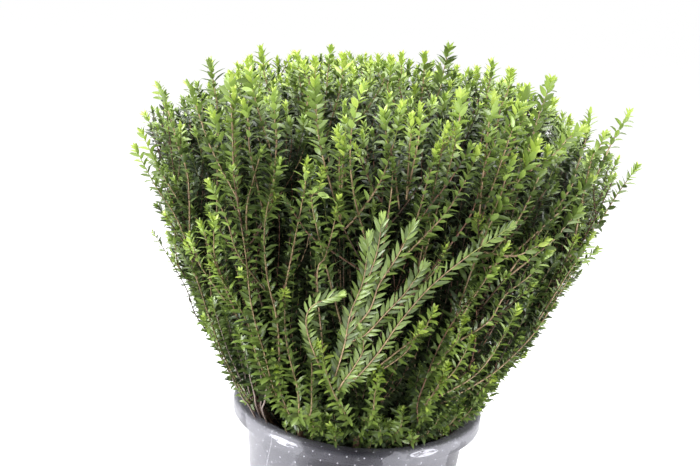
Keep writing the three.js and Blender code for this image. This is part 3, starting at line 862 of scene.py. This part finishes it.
# The bare stems at the left of the brim: a share of the crown's reach, and places as above
BARE_STRANDS = [
    (0.93, (212, 300), (219, 325), (229, 352), (240, 378), (253, 409)),
    (0.9, (226, 312), (232, 335), (241, 361), (248, 385), (256, 411)),
    (0.93, (238, 330), (244, 352), (250, 376), (254, 394), (258, 412)),
    (0.9, (252, 338), (256, 356), (261, 378), (262, 396), (262, 413)),
    (0.93, (272, 352), (270, 370), (267, 388), (265, 402), (264, 414)),
    (0.97, (204, 318), (216, 346), (230, 374), (243, 398), (250, 408)),
]
STRAND_SHARE = 0.94
SPRAY_SHARE = 0.98
STRAND_LEAF_GAIN = 1.08
STRAND_FOOT_LENGTH = 50
STRAND_STIFFNESS = 700
BARE_LEAF = 11
BARE_VIGOUR = 0.4
BARE_RISE = 30
SHORT_STRAND = 75
MIDDLING_STRAND = 170

# How a strand's depth is found, in millimetres from the camera along +Y. One that ends higher up on the
# photograph than the topmost place comes no nearer than its tip
TOPMOST_PLACE = 80
FEWEST_PLACES_TO_BEND = 5
LEAST_DEPTH_RANGE = 30
DEPTH_PER_PIXEL = 0.4 / 1.19
DEPTHS = range(760, 1200, 2)

# Stations of a leaf's blade: share of its length, and half width as a share of its width
LEAF_FORMS = {
    "fine": ((0.15, 0.32), (0.42, 0.5), (0.74, 0.31)),
    "plain": ((0.26, 0.44), (0.6, 0.4)),
    "rough": ((0.45, 0.5),),
}
LEAF_FOLD = 0.28
# The leaves' tints by age, and by depth inside the crown as painted shade: colour, roughness and wax
TINTS = {
    "bud": ((180, 201, 92), 0.4, 0.2),
    "young": ((146, 171, 82), 0.36, 0.3),
    "fresh": ((115, 137, 66), 0.36, 0.25),
    "grown": ((84, 102, 52), 0.34, 0.25),
    "old": ((57, 72, 43), 0.36, 0.15),
    "deep": ((48, 57, 36), 0.5, 0),
}
TINT_NAMES = list(TINTS)
STEM_TINTS = {
    "tan": ((178, 152, 118), (134, 108, 84)),
    "red": ((140, 100, 80), (98, 70, 56)),
    "brown": ((100, 77, 60), (64, 48, 38)),
    "green": ((158, 164, 92), (124, 132, 70)),
    "grey": ((160, 142, 132), (112, 97, 90)),
}
MOST_LEAVES_IN_PIECE = 18000

# Places on each leader and each twig where shoots may start
LEADER_PLACES = 32
TWIG_PLACES = 7

# Leaves start this far below a shoot's tip, are small over its bud, and stay clear of the brim
FIRST_LEAF_BELOW_TIP = 0.4
BUD_LENGTH = 14
CLEAR_OF_BRIM = 6
BRIM_INSIDE = 120

# How many shoots end over the dome, stand as tall columns, cover the sides, fill the inside and are low
TOPS = 520
COLUMNS = 170
SIDES = 760
INNERS = 560
LOWS = 320
SHOOT_LEAF = 13
SHOOT_STIFFNESS = 150
SHORTEST_SHOOT = 14
# Shoots that stray past the others at the crown's sides: share of the reach, azimuth, and height
STRAYS = [(1.02, 165, 288), (1.01, 173, 310), (1.0, 158, 262), (1.01, 17, 300), (1.0, 27, 280)]
BARE_AZIMUTH = 219
BARE_HALF_WIDTH = 17


def sight_through(place):
    """The camera's line of sight through a place on the photograph, for each millimetre along +Y."""
    across = (place[0] - PHOTO_SIZE[0] / 2) / PHOTO_FOCUS
    up = -(place[1] - PHOTO_SIZE[1] / 2) / PHOTO_FOCUS
    sight = np.array(CAMERA_TURN) @ (across, up, -1)
    return sight / sight[1]


def on_sight(place, depth):
    """The point at a depth behind a place on the photograph, with its height from the brim."""
    return CAMERA_FROM_BRIM + sight_through(place) * depth


def crown_depth(place, share, rise):
    """The depth at which a line of sight first meets the crown, at a share of its reach and with a
    raised dome, or passes nearest to it."""
    sight = sight_through(place)

    def outside(depth):
        x, y, height = CAMERA_FROM_BRIM + sight * depth
        radius = math.hypot(x, y)
        over_dome = height - dome_at(min(radius, WIDEST_REACH)) - rise
        return max(0, radius / (share * reach_at(height)) - 1, over_dome / 250)

    return min(DEPTHS, key=outside)


def distances_along(points):
    steps = np.linalg.norm(np.diff(points, axis=0), axis=1)
    return np.concatenate(([0], np.cumsum(steps)))


def strand_points(places, share, rise):
    """A strand's points from its foot up, few and even, behind its places on the photograph. Its depths
    are those of the crown there, smoothed and kept within a range."""
    depths = np.array([crown_depth(place, share, rise) for place in places], float)
    if places[0][1] < TOPMOST_PLACE:
        depths = np.maximum(depths[0], depths)
    along = distances_along(np.array(places, float))
    bends = 2 if len(places) >= FEWEST_PLACES_TO_BEND else 1
    depths = np.polyval(np.polyfit(along, depths, bends), along)
    spread = depths.max() - depths.min()
    most = max(LEAST_DEPTH_RANGE, DEPTH_PER_PIXEL * along[-1])
    if spread > most:
        depths = depths.mean() + (depths - depths.mean()) * most / spread
    points = np.array([on_sight(place, depth) for place, depth in zip(places, depths)])[::-1]
    along = distances_along(points)
    count = 3 if along[-1] < SHORT_STRAND else 4 if along[-1] < MIDDLING_STRAND else 6
    evenly = np.linspace(0, along[-1], count)
    return np.stack([np.interp(evenly, along, column) for column in points.T], axis=1)


def bare_points(places, share):
    """A bare stem's points from its foot up, each as far off as the crown is there."""
    return [on_sight(place, crown_depth(place, share, BARE_RISE)) for place in reversed(places)]


def leaf_triangles(stations):
    """A blade's triangles: its root, three points at each station, and its tip."""
    rows = [[3 * station + 1, 3 * station + 2, 3 * station + 3] for station in range(stations)]
    rows = [[0, 0, 0], *rows, [3 * stations + 1] * 3]
    triangles = []
    for low, high in zip(rows, rows[1:]):
        for side in (0, 1):
            quad = (low[side], low[side + 1], high[side + 1], high[side])
            triangles += [quad[:3], (quad[0], quad[2], quad[3])]
    return np.array([t for t in triangles if len(set(t)) == 3])


class Sprays:
    """The leaves, by tint, and the stems, by colour, of all shoots."""

    def __init__(self):
        self.leaves = {name: {form: [] for form in LEAF_FORMS} for name in TINTS}
        self.stems = {name: [] for name in STEM_TINTS}

    def add_leaf(self, tint, form, root, along, up, length, width, arch):
        self.leaves[tint][form].append((*root, *along, *up, length, width, arch))

    def add_stem(self, colour, points, radii):
        self.stems[colour].append((points, radii))


def bezier(start, start_pull, end_pull, end, steps):
    points = []
    for step in range(steps + 1):
        t = step / steps
        s = 1 - t
        from_start = start * s**3 + start_pull * (3 * s * s * t)
        points.append(from_start + end_pull * (3 * s * t * t) + end * t**3)
    return points


def point_on(line, lengths, distance):
    """The point and run of a line at a distance from its start."""
    i = 1
    while i < len(lengths) - 1 and lengths[i] < distance:
        i += 1
    step = lengths[i] - lengths[i - 1]
    share = (distance - lengths[i - 1]) / step if step else 0
    return line[i - 1].lerp(line[i], share), (line[i] - line[i - 1]).normalized()


def grow_shoot(
    sprays,
    rng,
    line,
    leafy,
    leaf,
    vigour,
    colour,
    form="plain",
    spacing=5.2,
    thickness=0.8,
    flat=False,
    tone=None,
    oldest=9,
):
    """A shoot along a line: its stem, and leaves from its tip down over the leafy share of its length,
    in crossed pairs, or in two flat rows that face outwards. Vigour from 0 to 1 says how far its bright
    young growth goes down, and a tone makes all of it but the tip one age. Deep inside the crown all
    leaves are given older, darker tints: painted shade."""
    lengths = [0.0]
    for before, after in zip(line, line[1:]):
        lengths.append(lengths[-1] + (after - before).length)
    whole = lengths[-1]
    leafy *= whole
    if colour:
        radii = [between((thickness, 0.42), (length / whole) ** 1.4) for length in lengths]
        green_from = max(1, int(len(line) * between((0.92, 0.74), vigour)))
        sprays.add_stem(colour, line[: green_from + 1], radii[: green_from + 1])
        if green_from < len(line) - 1:
            sprays.add_stem("green", line[green_from:], radii[green_from:])
    turn = rng.uniform(0, math.pi)
    bright = between((4, 26), vigour)
    fading = between((60, 220), vigour)
    below_tip = FIRST_LEAF_BELOW_TIP
    pair = 0
    while below_tip < leafy:
        growth = min(1.0, 0.56 + 0.44 * (below_tip / BUD_LENGTH) ** 0.8)
        root, run = point_on(line, lengths, whole - below_tip)
        side_base = run.cross(Vector(OFF_AXIS)).normalized()
        side_across = run.cross(side_base)
        angle = between((0.36, 0.9), min(1.0, below_tip / 16) ** 0.7)
        up_crown = min(1.0, max(0.0, root.z - POT_HEIGHT - 190) / 110)
        broad = between((1.0, 1.18), up_crown)
        outward = Vector((root.x, root.y, 0.25 * root.z)).normalized()
        if below_tip < bright:
            age = 1.7 * below_tip / bright - 0.2
        else:
            age = 1.5 + 2 * (below_tip - bright) / fading
        age += (1 - vigour) * 1.5
        age = min(age, oldest)
        if tone is not None:
            age = tone - max(0.0, 1 - below_tip / BUD_LENGTH)
        # Painted shade: leaves deep inside the crown get older, darker tints.
        age += 2.8 * max(0.0, min(1.0, (depth_inside(root) - 10) / 42))
        for half in (0, 1):
            if pair > 3 and rng.random() < 0.04 + 0.1 * (below_tip / leafy) ** 3:
                continue
            swing = turn + half * math.pi + rng.gauss(0, 0.16)
            side = side_base * math.cos(swing) + side_across * math.sin(swing)
            tilt = angle + rng.gauss(0, 0.12)
            if flat:
                side = run.cross(outward).normalized() * (1 - 2 * half) + outward * rng.gauss(0.1, 0.15)
                tilt = angle * 0.57 + rng.gauss(0, 0.09)
            along = lean(run, side.normalized(), tilt)
            up = run * math.sin(tilt) - side * math.cos(tilt)
            if flat:
                facing = outward + run * 0.45
                up = (facing - along * facing.dot(along)).normalized()
            roll = rng.gauss(0, 0.22)
            up = (up * math.cos(roll) + along.cross(up) * math.sin(roll)).normalized()
            length = leaf * growth * rng.uniform(0.86, 1.14)
            if root.z < POT_HEIGHT + CLEAR_OF_BRIM and math.hypot(root.x, root.y) > BRIM_INSIDE:
                continue
            tint = TINT_NAMES[max(0, min(len(TINTS) - 1, int(age + rng.gauss(0.1, 0.4))))]
            form_gain = 0.72 if flat else 1.15 if growth < 0.8 else broad
            width = length * rng.uniform(0.29, 0.36) * form_gain
            arch = rng.uniform(0.1, 0.3) * growth
            sprays.add_leaf(tint, form, root, along, up, length, width, arch)
        turn += math.pi / 2 + rng.gauss(0, 0.1)
        below_tip += spacing * min(1.0, 0.18 + 0.82 * (below_tip / 20) ** 0.8) * rng.uniform(0.9, 1.1)
        pair += 1


def depth_inside(point):
    """How far inside the crown a point is, less so for what is only below its top."""
    radius = point.xy.length
    height = point.z - POT_HEIGHT
    return min(reach_at(height) - radius, 0.6 * (dome_at(radius) - height))


def limb_places(mass):
    """Points along a mass's leader and twigs, where shoots may start, with the limb's run at each."""
    places = []
    for step in range(1, LEADER_PLACES + 1):
        share = step / (LEADER_PLACES + 1)
        places.append((drawn_in(mass.leader(share)), mass.run_at(share)))
    for twig in mass.twigs:
        foot, tip = twig_ends(twig)
        run = (tip - foot).normalized()
        for step in range(1, TWIG_PLACES + 1):
            places.append((foot.lerp(tip, step / (TWIG_PLACES + 1)), run))
    return places


def mass_at(masses, share, azimuth):
    if share < RINGS[0].end:
        return masses[0]
    ring_index = 1 if share < RINGS[1].end else 2
    count = RINGS[ring_index].count
    sector = round(azimuth / (2 * math.pi / count)) % count
    first = 1 if ring_index == 1 else 1 + RINGS[1].count
    return masses[first + sector]


def best_foot(mass, tip, direction, wanted, stiffness=SHOOT_STIFFNESS):
    """The place on a mass's limbs from which a shoot of a wanted length best gets to its tip."""
    best = None
    for point, run in mass.places:
        way = tip - point
        size = way.length
        if size < SHORTEST_SHOOT:
            continue
        bend = 1 - way.dot(direction) / size
        cost = abs(size - wanted) + stiffness * bend
        if best is None or cost < best[0]:
            best = (cost, point, run)
    return best[1], best[2]


def shoot_line(rng, foot, run, tip, direction):
    """A shoot's line: it leaves its limb at a slant, bends up early and then runs nearly straight."""
    way = tip - foot
    size = way.length
    start = (run * 0.7 + way.normalized()).normalized()
    wobble = Vector((rng.gauss(0, 1), rng.gauss(0, 1), rng.gauss(0, 0.4))) * size * 0.018
    start_pull = foot + start * size * 0.33 + wobble
    end_pull = tip - direction * size * 0.36 - wobble
    return bezier(foot, start_pull, end_pull, tip, 10)


def tip_direction(rng, share, azimuth, height, wander=0.1):
    """Which way a shoot points at its tip: up, and out with its share of the reach."""
    angle = share * between((0.56, 0.44), height / 380) + rng.gauss(0, wander)
    turn = azimuth + rng.gauss(0, wander * 3)
    out = math.sin(angle)
    return Vector((out * math.cos(turn), out * math.sin(turn), math.cos(angle)))


def smooth_line(points, steps=5):
    """A smooth curve through points."""
    line = []
    for i in range(len(points) - 1):
        start, end = points[i], points[i + 1]
        before, after = points[max(i - 1, 0)], points[min(i + 2, len(points) - 1)]
        piece = bezier(start, start + (end - before) / 6, end - (after - start) / 6, end, steps)
        line += piece[bool(line):]
    return line


def grow_strand(sprays, rng, masses, look, leaf, vigour, points):
    """One of the strands that show, on from the limb that is nearest to its foot."""
    points = [Vector((x, y, POT_HEIGHT + height)) for x, y, height in np.round(points)]
    first = points[0]
    share = first.xy.length / reach_at(first.z - POT_HEIGHT)
    mass = mass_at(masses, min(share, 1), math.atan2(first.y, first.x) % (2 * math.pi))
    if look == "bare":
        foot = Vector((first.x * 0.78, first.y * 0.78, POT_HEIGHT - SOIL_BELOW_BRIM - 4))
    else:
        direction = (points[1] - first).normalized()
        foot, _ = best_foot(mass, first, direction, STRAND_FOOT_LENGTH, STRAND_STIFFNESS)
    options = {"leafy": 0.97, **LOOKS[look]}
    line = smooth_line([foot, *points])
    grow_shoot(sprays, rng, line, leaf=leaf * STRAND_LEAF_GAIN, vigour=vigour, form="fine", **options)


def grow_strands(sprays, rng, masses):
    """The strands that show, and then the bare stems at the left of the brim."""
    for look, leaf, vigour, rise, *places in STRANDS:
        share = SPRAY_SHARE if look == "spray" else STRAND_SHARE
        points = strand_points(places, share, rise)
        grow_strand(sprays, rng, masses, look, leaf, vigour, points)
    for share, *places in BARE_STRANDS:
        points = bare_points(places, share)
        grow_strand(sprays, rng, masses, "bare", BARE_LEAF, BARE_VIGOUR, points)


def faces_front(azimuth):
    """From 0 at the crown's side edges and its back to 1 at its front."""
    return max(0.0, min(1.0, -1.4 * math.sin(azimuth)))


def painted_front_shade(azimuth):
    """From 0 to 1, painted shade at the middle of the crown's front: there the leaves get older, darker
    tints, and at the sides brighter young ones, a painted light.
    """
    return max(0.0, -math.sin(azimuth)) ** 3


def stands_bare(azimuth):
    """Whether bare stems show over the brim here, with no leafy shoots before them."""
    return abs(math.degrees(azimuth) % 360 - BARE_AZIMUTH) < BARE_HALF_WIDTH


def even_places(count, turn=0):
    """Even places round the crown: for each, its share of the way through them, and its azimuth."""
    for i in range(count):
        yield (i + 0.5) / count, i * GOLDEN_TURN + turn


def grow_crown(masses):
    """All the shoots: the strands that show, and those over the dome, round the sides, and inside."""
    rng = random.Random(SEED)
    sprays = Sprays()

    def add(share, azimuth, height, wanted, leafy, leaf, vigour, colour, **more):
        azimuth %= 2 * math.pi
        mass = mass_at(masses, min(share, 1), azimuth)
        tip = crown_point(share, azimuth, height)
        direction = tip_direction(rng, share, azimuth, height)
        foot, run = best_foot(mass, tip, direction, wanted)
        line = shoot_line(rng, foot, run, tip, direction)
        grow_shoot(sprays, rng, line, leafy, leaf, vigour, colour, **more)

    def vigour_draw():
        drawn = rng.choice((1, 0.9, 0.7, 0.4, 0.1)) + rng.gauss(0, 0.1)
        return min(1.0, max(0.0, drawn))

    def colour_draw():
        return rng.choice(("tan", "red", "brown", "brown"))

    grow_strands(sprays, rng, masses)
    for mass in masses:
        line = leader_line(mass)
        grow_shoot(sprays, rng, line[2:], 0.98, 12, vigour_draw(), None)
        for twig in mass.twigs:
            grow_shoot(sprays, rng, twig_line(twig), 0.95, 11.5, vigour_draw(), None)

    for rise, azimuth in even_places(TOPS):
        azimuth += rng.gauss(0, 0.03)
        share = math.sqrt(rise) * (0.9 + 0.03 * (math.sin(azimuth) < 0.2))
        drop = 7 + abs(rng.gauss(0, 19)) if rng.random() < 0.7 else rng.uniform(25, 75)
        slope = 90 * max(0.0, share - 0.6) * (1 - 0.8 * faces_front(azimuth))
        height = dome_at(share * WIDEST_REACH) - drop - slope
        wanted = rng.uniform(110, 240)
        vigour = vigour_draw() * (1 - 0.6 * painted_front_shade(azimuth) * share)
        add(share, azimuth, height, wanted, 0.96, SHOOT_LEAF, vigour, colour_draw())

    for rise, azimuth in even_places(COLUMNS, 2):
        height = 90 + 235 * rise
        share = 0.93 - 0.05 * faces_front(azimuth) + rng.uniform(-0.05, 0.01)
        wanted = 0.9 * math.hypot(share * reach_at(height) - 110, height)
        vigour = vigour_draw() * (1 - 0.5 * painted_front_shade(azimuth))
        oldest = 3.1 + 2 * painted_front_shade(azimuth)
        add(share, azimuth, height, wanted, 0.97, SHOOT_LEAF, vigour, colour_draw(), oldest=oldest)

    for share, degrees, height in STRAYS:
        add(share, math.radians(degrees), height, 220, 0.97, SHOOT_LEAF, 0.8, "tan", oldest=3)

    for rise, azimuth in even_places(SIDES):
        height = 8 + 310 * rise**0.85
        share = 0.9 - 0.03 * faces_front(azimuth) + rng.uniform(-0.07, 0.02)
        if stands_bare(azimuth) and height < 75:
            continue
        wanted = min(rng.uniform(110, 220), height * 0.9 + 20)
        vigour = vigour_draw() * (0.9 - 0.65 * painted_front_shade(azimuth))
        oldest = 3.1 + 2 * painted_front_shade(azimuth)
        add(share, azimuth, height, wanted, 0.96, SHOOT_LEAF, vigour, colour_draw(), oldest=oldest)

    # Large leaves fill the inside; their depth gives them the darkest tints, painted shade.
    for rise, azimuth in even_places(INNERS, 1):
        share = rng.uniform(0.05, 0.8)
        height = min(15 + 340 * rise, dome_at(share * WIDEST_REACH) - 60)
        wanted = min(rng.uniform(90, 200), height * 0.9 + 20)
        add(share, azimuth, height, wanted, 0.9, 19, 0, "brown", form="rough", spacing=8)

    for _, azimuth in even_places(LOWS):
        share = rng.uniform(0.78, 0.94)
        height = rng.uniform(8, 62)
        if stands_bare(azimuth):
            continue
        foot_share = rng.uniform(0.5, 0.84)
        foot = crown_point(foot_share, azimuth + rng.gauss(0, 0.08), rng.uniform(-34, -22))
        direction = tip_direction(rng, share, azimuth, height, 0.2)
        line = shoot_line(rng, foot, UP, crown_point(share, azimuth, height), direction)
        grow_shoot(sprays, rng, line, 0.92, 12, vigour_draw() * 0.5, "tan", oldest=4)
    return sprays


def leaf_arrays(leaves, stations):
    """Points and triangles of leaves: blades in their own outline, folded at the midrib and arched."""
    data = np.array(leaves)
    root, along, up = data[:, 0:3], data[:, 3:6], data[:, 6:9]
    length, width, arch = (column[:, None] for column in data[:, 9:12].T)
    across = np.cross(along, up)
    rows = [root]
    for station, half in stations:
        spine = root + along * length * station - up * arch * length * station**2
        edge = across * width * half
        lift = up * LEAF_FOLD * width * half
        rows += [spine - edge + lift, spine, spine + edge + lift]
    rows.append(root + along * length * (1 - arch * 0.4) - up * arch * length)
    triangles = leaf_triangles(len(stations))
    first = len(rows) * np.arange(len(data))[:, None, None]
    return np.stack(rows, axis=1).reshape(-1, 3), (triangles[None] + first).reshape(-1, 3)


def leaf_mesh(name, by_form):
    points = np.empty((0, 3))
    corners = np.empty((0, 3), dtype=int)
    for form, leaves in by_form.items():
        if leaves:
            more_points, more_corners = leaf_arrays(leaves, LEAF_FORMS[form])
            corners = np.concatenate((corners, more_corners + len(points)))
            points = np.concatenate((points, more_points))
    return mesh_from_arrays(name, points, corners)


def stem_mesh(name, stems, sides=3):
    """Thin stems as joined tubes that end in a point."""
    points = []
    corners = []
    first = 0
    for line, radii in stems:
        line = np.array([tuple(point) for point in line])
        runs = np.gradient(line, axis=0)
        runs /= np.linalg.norm(runs, axis=1)[:, None]
        across = np.cross(runs, OFF_AXIS)
        across /= np.linalg.norm(across, axis=1)[:, None]
        out = np.cross(runs, across)
        for turn in (2 * math.pi * side / sides for side in range(sides)):
            aside = across * math.cos(turn) + out * math.sin(turn)
            points.append(line + aside * np.array(radii)[:, None])
        count = len(line)
        for side in range(sides):
            here = first + side * count
            there = first + (side + 1) % sides * count
            for i in range(count - 1):
                corners.append((here + i, here + i + 1, there + i + 1))
                corners.append((here + i, there + i + 1, there + i))
        ends = [first + side * count for side in range(sides)]
        corners.append(tuple(ends))
        corners.append(tuple(end + count - 1 for end in reversed(ends)))
        first += sides * count
    return mesh_from_arrays(name, np.concatenate(points), np.array(corners))


def make_shoots(masses, sprays):
    names = [f"foliage_{mass.name}" for mass in masses]
    for tint, by_form in sprays.leaves.items():
        finish = leaf_finish(f"{tint}_leaf", *TINTS[tint])
        parts = math.ceil(sum(len(leaves) for leaves in by_form.values()) / MOST_LEAVES_IN_PIECE)
        for part in range(parts):
            name = f"{tint}_leaves_{part + 1}"
            share = {form: leaves[part::parts] for form, leaves in by_form.items()}
            add_piece(name, leaf_mesh(name, share), finish, names)
    for colour, stems in sprays.stems.items():
        finish = stem_finish(f"{colour}_stem", *STEM_TINTS[colour])
        name = f"{colour}_stems"
        add_piece(name, stem_mesh(name, stems), finish, names)


# Sleeve


def sleeve_finish():
    """Thin clear film: nearly unseen face on, milky and darker grey where it is seen at a slant, with
    painted reflections in patches where it clings and a painted sheen that rises towards the pot's sides,
    a stitched seam, fine holes in staggered rows shown as pale dots with painted highlights, and painted
    glints over the brim."""
    finish = Finish("clear_film", (190, 190, 199), 0.2, specular_ior_level=0.5)
    flat = finish.node("ShaderNodeUVMap", {"uv_map": "flat"}).outputs[0]
    split = finish.node("ShaderNodeSeparateXYZ", None, {0: flat}).outputs
    across, up = Value(finish, split[0]), Value(finish, split[1])

    def spot(degrees, height, half_width, half_height):
        """1 inside an oval of the film, and 0 outside."""
        sideways = (across - math.radians(degrees) * BRIM_RADIUS * MM) / half_width
        return (sideways**2 + ((up - height) / half_height) ** 2).ramp(1.2, 0.8)

    def dots(shift):
        sideways = ((across / FILM_DOTS[0] + shift).fraction() - 0.5) * FILM_DOTS[0]
        upwards = ((up / FILM_DOTS[1] + shift).fraction() - 0.5) * FILM_DOTS[1]
        return sideways * sideways + upwards * upwards

    # The holes' real places, drawn as pale dots: painted highlights on their punched rims.
    hole_rim_highlight = dots(0).least(dots(0.5)).ramp(*FILM_HOLE_AREA)
    on_seam = (across - FILM_SEAM).size() < FILM_SEAM_HALF_WIDTH
    seam = on_seam * ((up / FILM_STITCH).fraction() > 0.35)
    wander = {0: finish.place(), "Scale": finish.noise(22, 2) * 0.25 + 1}
    warped = finish.node("ShaderNodeVectorMath", {"operation": "SCALE"}, wander).outputs[0]
    tone = finish.cells(27, warped, output="Color")
    edge = finish.cells(27, warped, "DISTANCE_TO_EDGE")
    from_middle = (across - FILM_MIDDLE).size()
    # aside goes from 0 at the film's front, which faces the camera, to 1 towards the pot's sides, where
    # painted sheen is added.
    aside = (from_middle / 0.07).least(1)
    # Painted reflections in cells where the film clings, more towards the sides, left out at the free spot
    # and fading at the back into a cloudy haze.
    cling_reflection_cells = finish.value("ShaderNodeSeparateColor", None, {0: tone}) + aside * 0.45
    free = spot(*FILM_FREE)
    far = from_middle.ramp(0.14, 0.22)
    haze = finish.noise(11, 3).ramp(0.35, 0.7)
    painted_cling_reflection = cling_reflection_cells.ramp(0.5, 1.1) * (1 - free) * (1 - far) + (haze * 0.5 + 0.3) * far
    # Light lines along the cells' edges: painted highlights.
    painted_edge_glint = edge.ramp(0.04, 0.0) * painted_cling_reflection * 0.08
    brim = up.ramp(SLEEVE_TOP_Z * MM - 0.02, SLEEVE_TOP_Z * MM - 0.012)
    # Light streaks towards the sides: painted reflection.
    painted_streaks = finish.noise(90, 3, stretch=(1, 1, 3)).ramp(0.6, 0.72) * aside * 0.16
    slant = finish.value("ShaderNodeLayerWeight", None, {"Blend": 0.3}, 1)
    # Painted glints over the brim, broken into streaks.
    painted_glints = reduce(Value.most, [spot(*glint) for glint in FILM_GLINTS])
    glint_streaks = finish.noise(120, 2, stretch=(1, 1, 5)).ramp(0.36, 0.46)
    # The film's own faint haze, plus painted sheen: the reflection patches, the sides, the top at the
    # sides, and more at a slant.
    milk_and_painted_sheen = 0.014 + painted_cling_reflection * 0.19 + aside * aside * 0.045 + brim * aside * 0.05 + slant**2 * 0.45
    # Darker grey where the film is seen at a slant: painted shade.
    finish.colour(finish.mix(slant.ramp(0.3, 0.9), (190, 190, 199), (118, 118, 128)))
    clear = (milk_and_painted_sheen + painted_edge_glint + painted_streaks).most(hole_rim_highlight * 0.75).most(seam * 0.6).most(painted_glints * glint_streaks * 0.9)
    finish.feed(finish.shader.inputs["Alpha"], clear.least(0.92))
    return finish.material


def make_sleeve():
    """The film sleeve, bent round from a grid: snug round the brim, slack and pleated below it, crumpled
    all over, and folded in over the brim."""
    columns = 360
    rows = 60
    slack_from = POT_HEIGHT - BRIM_DEPTH
    heights = [between((SLEEVE_HEM_Z, SLEEVE_TOP_Z), row / rows) for row in range(rows + 1)]
    levels = heights + [heights[-1] + 3 * (row + 1) for row in range(len(SLEEVE_FOLD))]
    last_row = len(levels) - 1

    def film_point(azimuth, row):
        """A point of the film: of its wall, or of the fold over the brim."""
        if row > rows:
            radius, z = SLEEVE_FOLD[row - rows - 1]
            place = Vector((math.cos(azimuth) * 9, math.sin(azimuth) * 9, radius * 0.05))
            z += 0.7 * noise.noise(place)
        else:
            z = heights[row]
            slack = max(0.0, (slack_from - z) / slack_from)
            place = Vector((math.cos(azimuth) * 2.2, math.sin(azimuth) * 2.2, z * 0.016))
            crumple = noise.noise(place * 2.4) * 5 + noise.noise(place * 7) * 1.6
            pleat = 3.5 * math.sqrt(slack) * math.sin(8 * azimuth) + crumple * min(1, slack * 6)
            radius = between((SLEEVE_SNUG_RADIUS, SLEEVE_FOOT_RADIUS), slack**0.7) + pleat
        return Vector((radius * math.cos(azimuth), radius * math.sin(azimuth), z))

    bm = bmesh.new()
    flat = bm.loops.layers.uv.new("flat")
    bmesh.ops.create_grid(bm, x_segments=columns, y_segments=last_row, size=1, calc_uvs=True)
    for face in bm.faces:
        for loop in face.loops:
            across, up = loop[flat].uv
            loop[flat].uv = (across * FILM_WIDTH, levels[round(up * last_row)] * MM)
    for vert in bm.verts:
        column = round((vert.co.x + 1) / 2 * columns) % columns
        row = round((vert.co.y + 1) / 2 * last_row)
        vert.co = film_point(2 * math.pi * column / columns, row)
    mesh = mesh_of("film_sleeve", bm)
    add_piece("film_sleeve", mesh, sleeve_finish(), ["clear_sleeve"])


# Studio


def make_studio():
    """A plain pale floor, soft light all round, and the camera at the photograph's angle."""
    bm = bmesh.new()
    bmesh.ops.create_grid(bm, x_segments=2, y_segments=2, size=60)
    mesh = bpy.data.meshes.new("pale_floor")
    bm.to_mesh(mesh)
    bm.free()
    mesh.materials.append(Finish("pale_floor", (255, 255, 255), 0.9, specular_ior_level=0).material)
    floor = place_in_scene("pale_floor", mesh)

    world = bpy.data.worlds.new("studio")
    world.use_nodes = True
    background = world.node_tree.nodes["Background"]
    background.inputs["Color"].default_value = (1, 1, 1, 1)
    background.inputs["Strength"].default_value = 1.0
    bpy.context.scene.world = world

    for name, place, size, power in LIGHTS:
        light = bpy.data.lights.new(name, "AREA")
        light.size = size
        light.energy = power
        lamp = place_in_scene(name, light)
        lamp.location = place
        lamp.rotation_euler = (LIGHTS_FACE - lamp.location).to_track_quat("-Z", "Y").to_euler()

    camera_data = bpy.data.cameras.new("camera")
    camera_data.lens = CAMERA_LENS
    camera_data.sensor_width = SENSOR_WIDTH
    camera_data.clip_end = 200
    camera = place_in_scene("camera", camera_data)
    place = Matrix.Translation([value * MM for value in CAMERA_PLACE])
    camera.matrix_world = place @ CAMERA_TURN.to_4x4()
    bpy.context.scene.camera = camera
    bpy.context.scene.view_settings.view_transform = "Standard"


make_pot()
make_soil()
all_masses = [grow_mass(ring, sector) for ring in range(3) for sector in range(RINGS[ring].count)]
for mass in all_masses:
    mass.places = limb_places(mass)
make_boughs(all_masses)
make_bare_stems()
make_leaders(all_masses)
make_shoots(all_masses, grow_crown(all_masses))
make_sleeve()
make_studio()
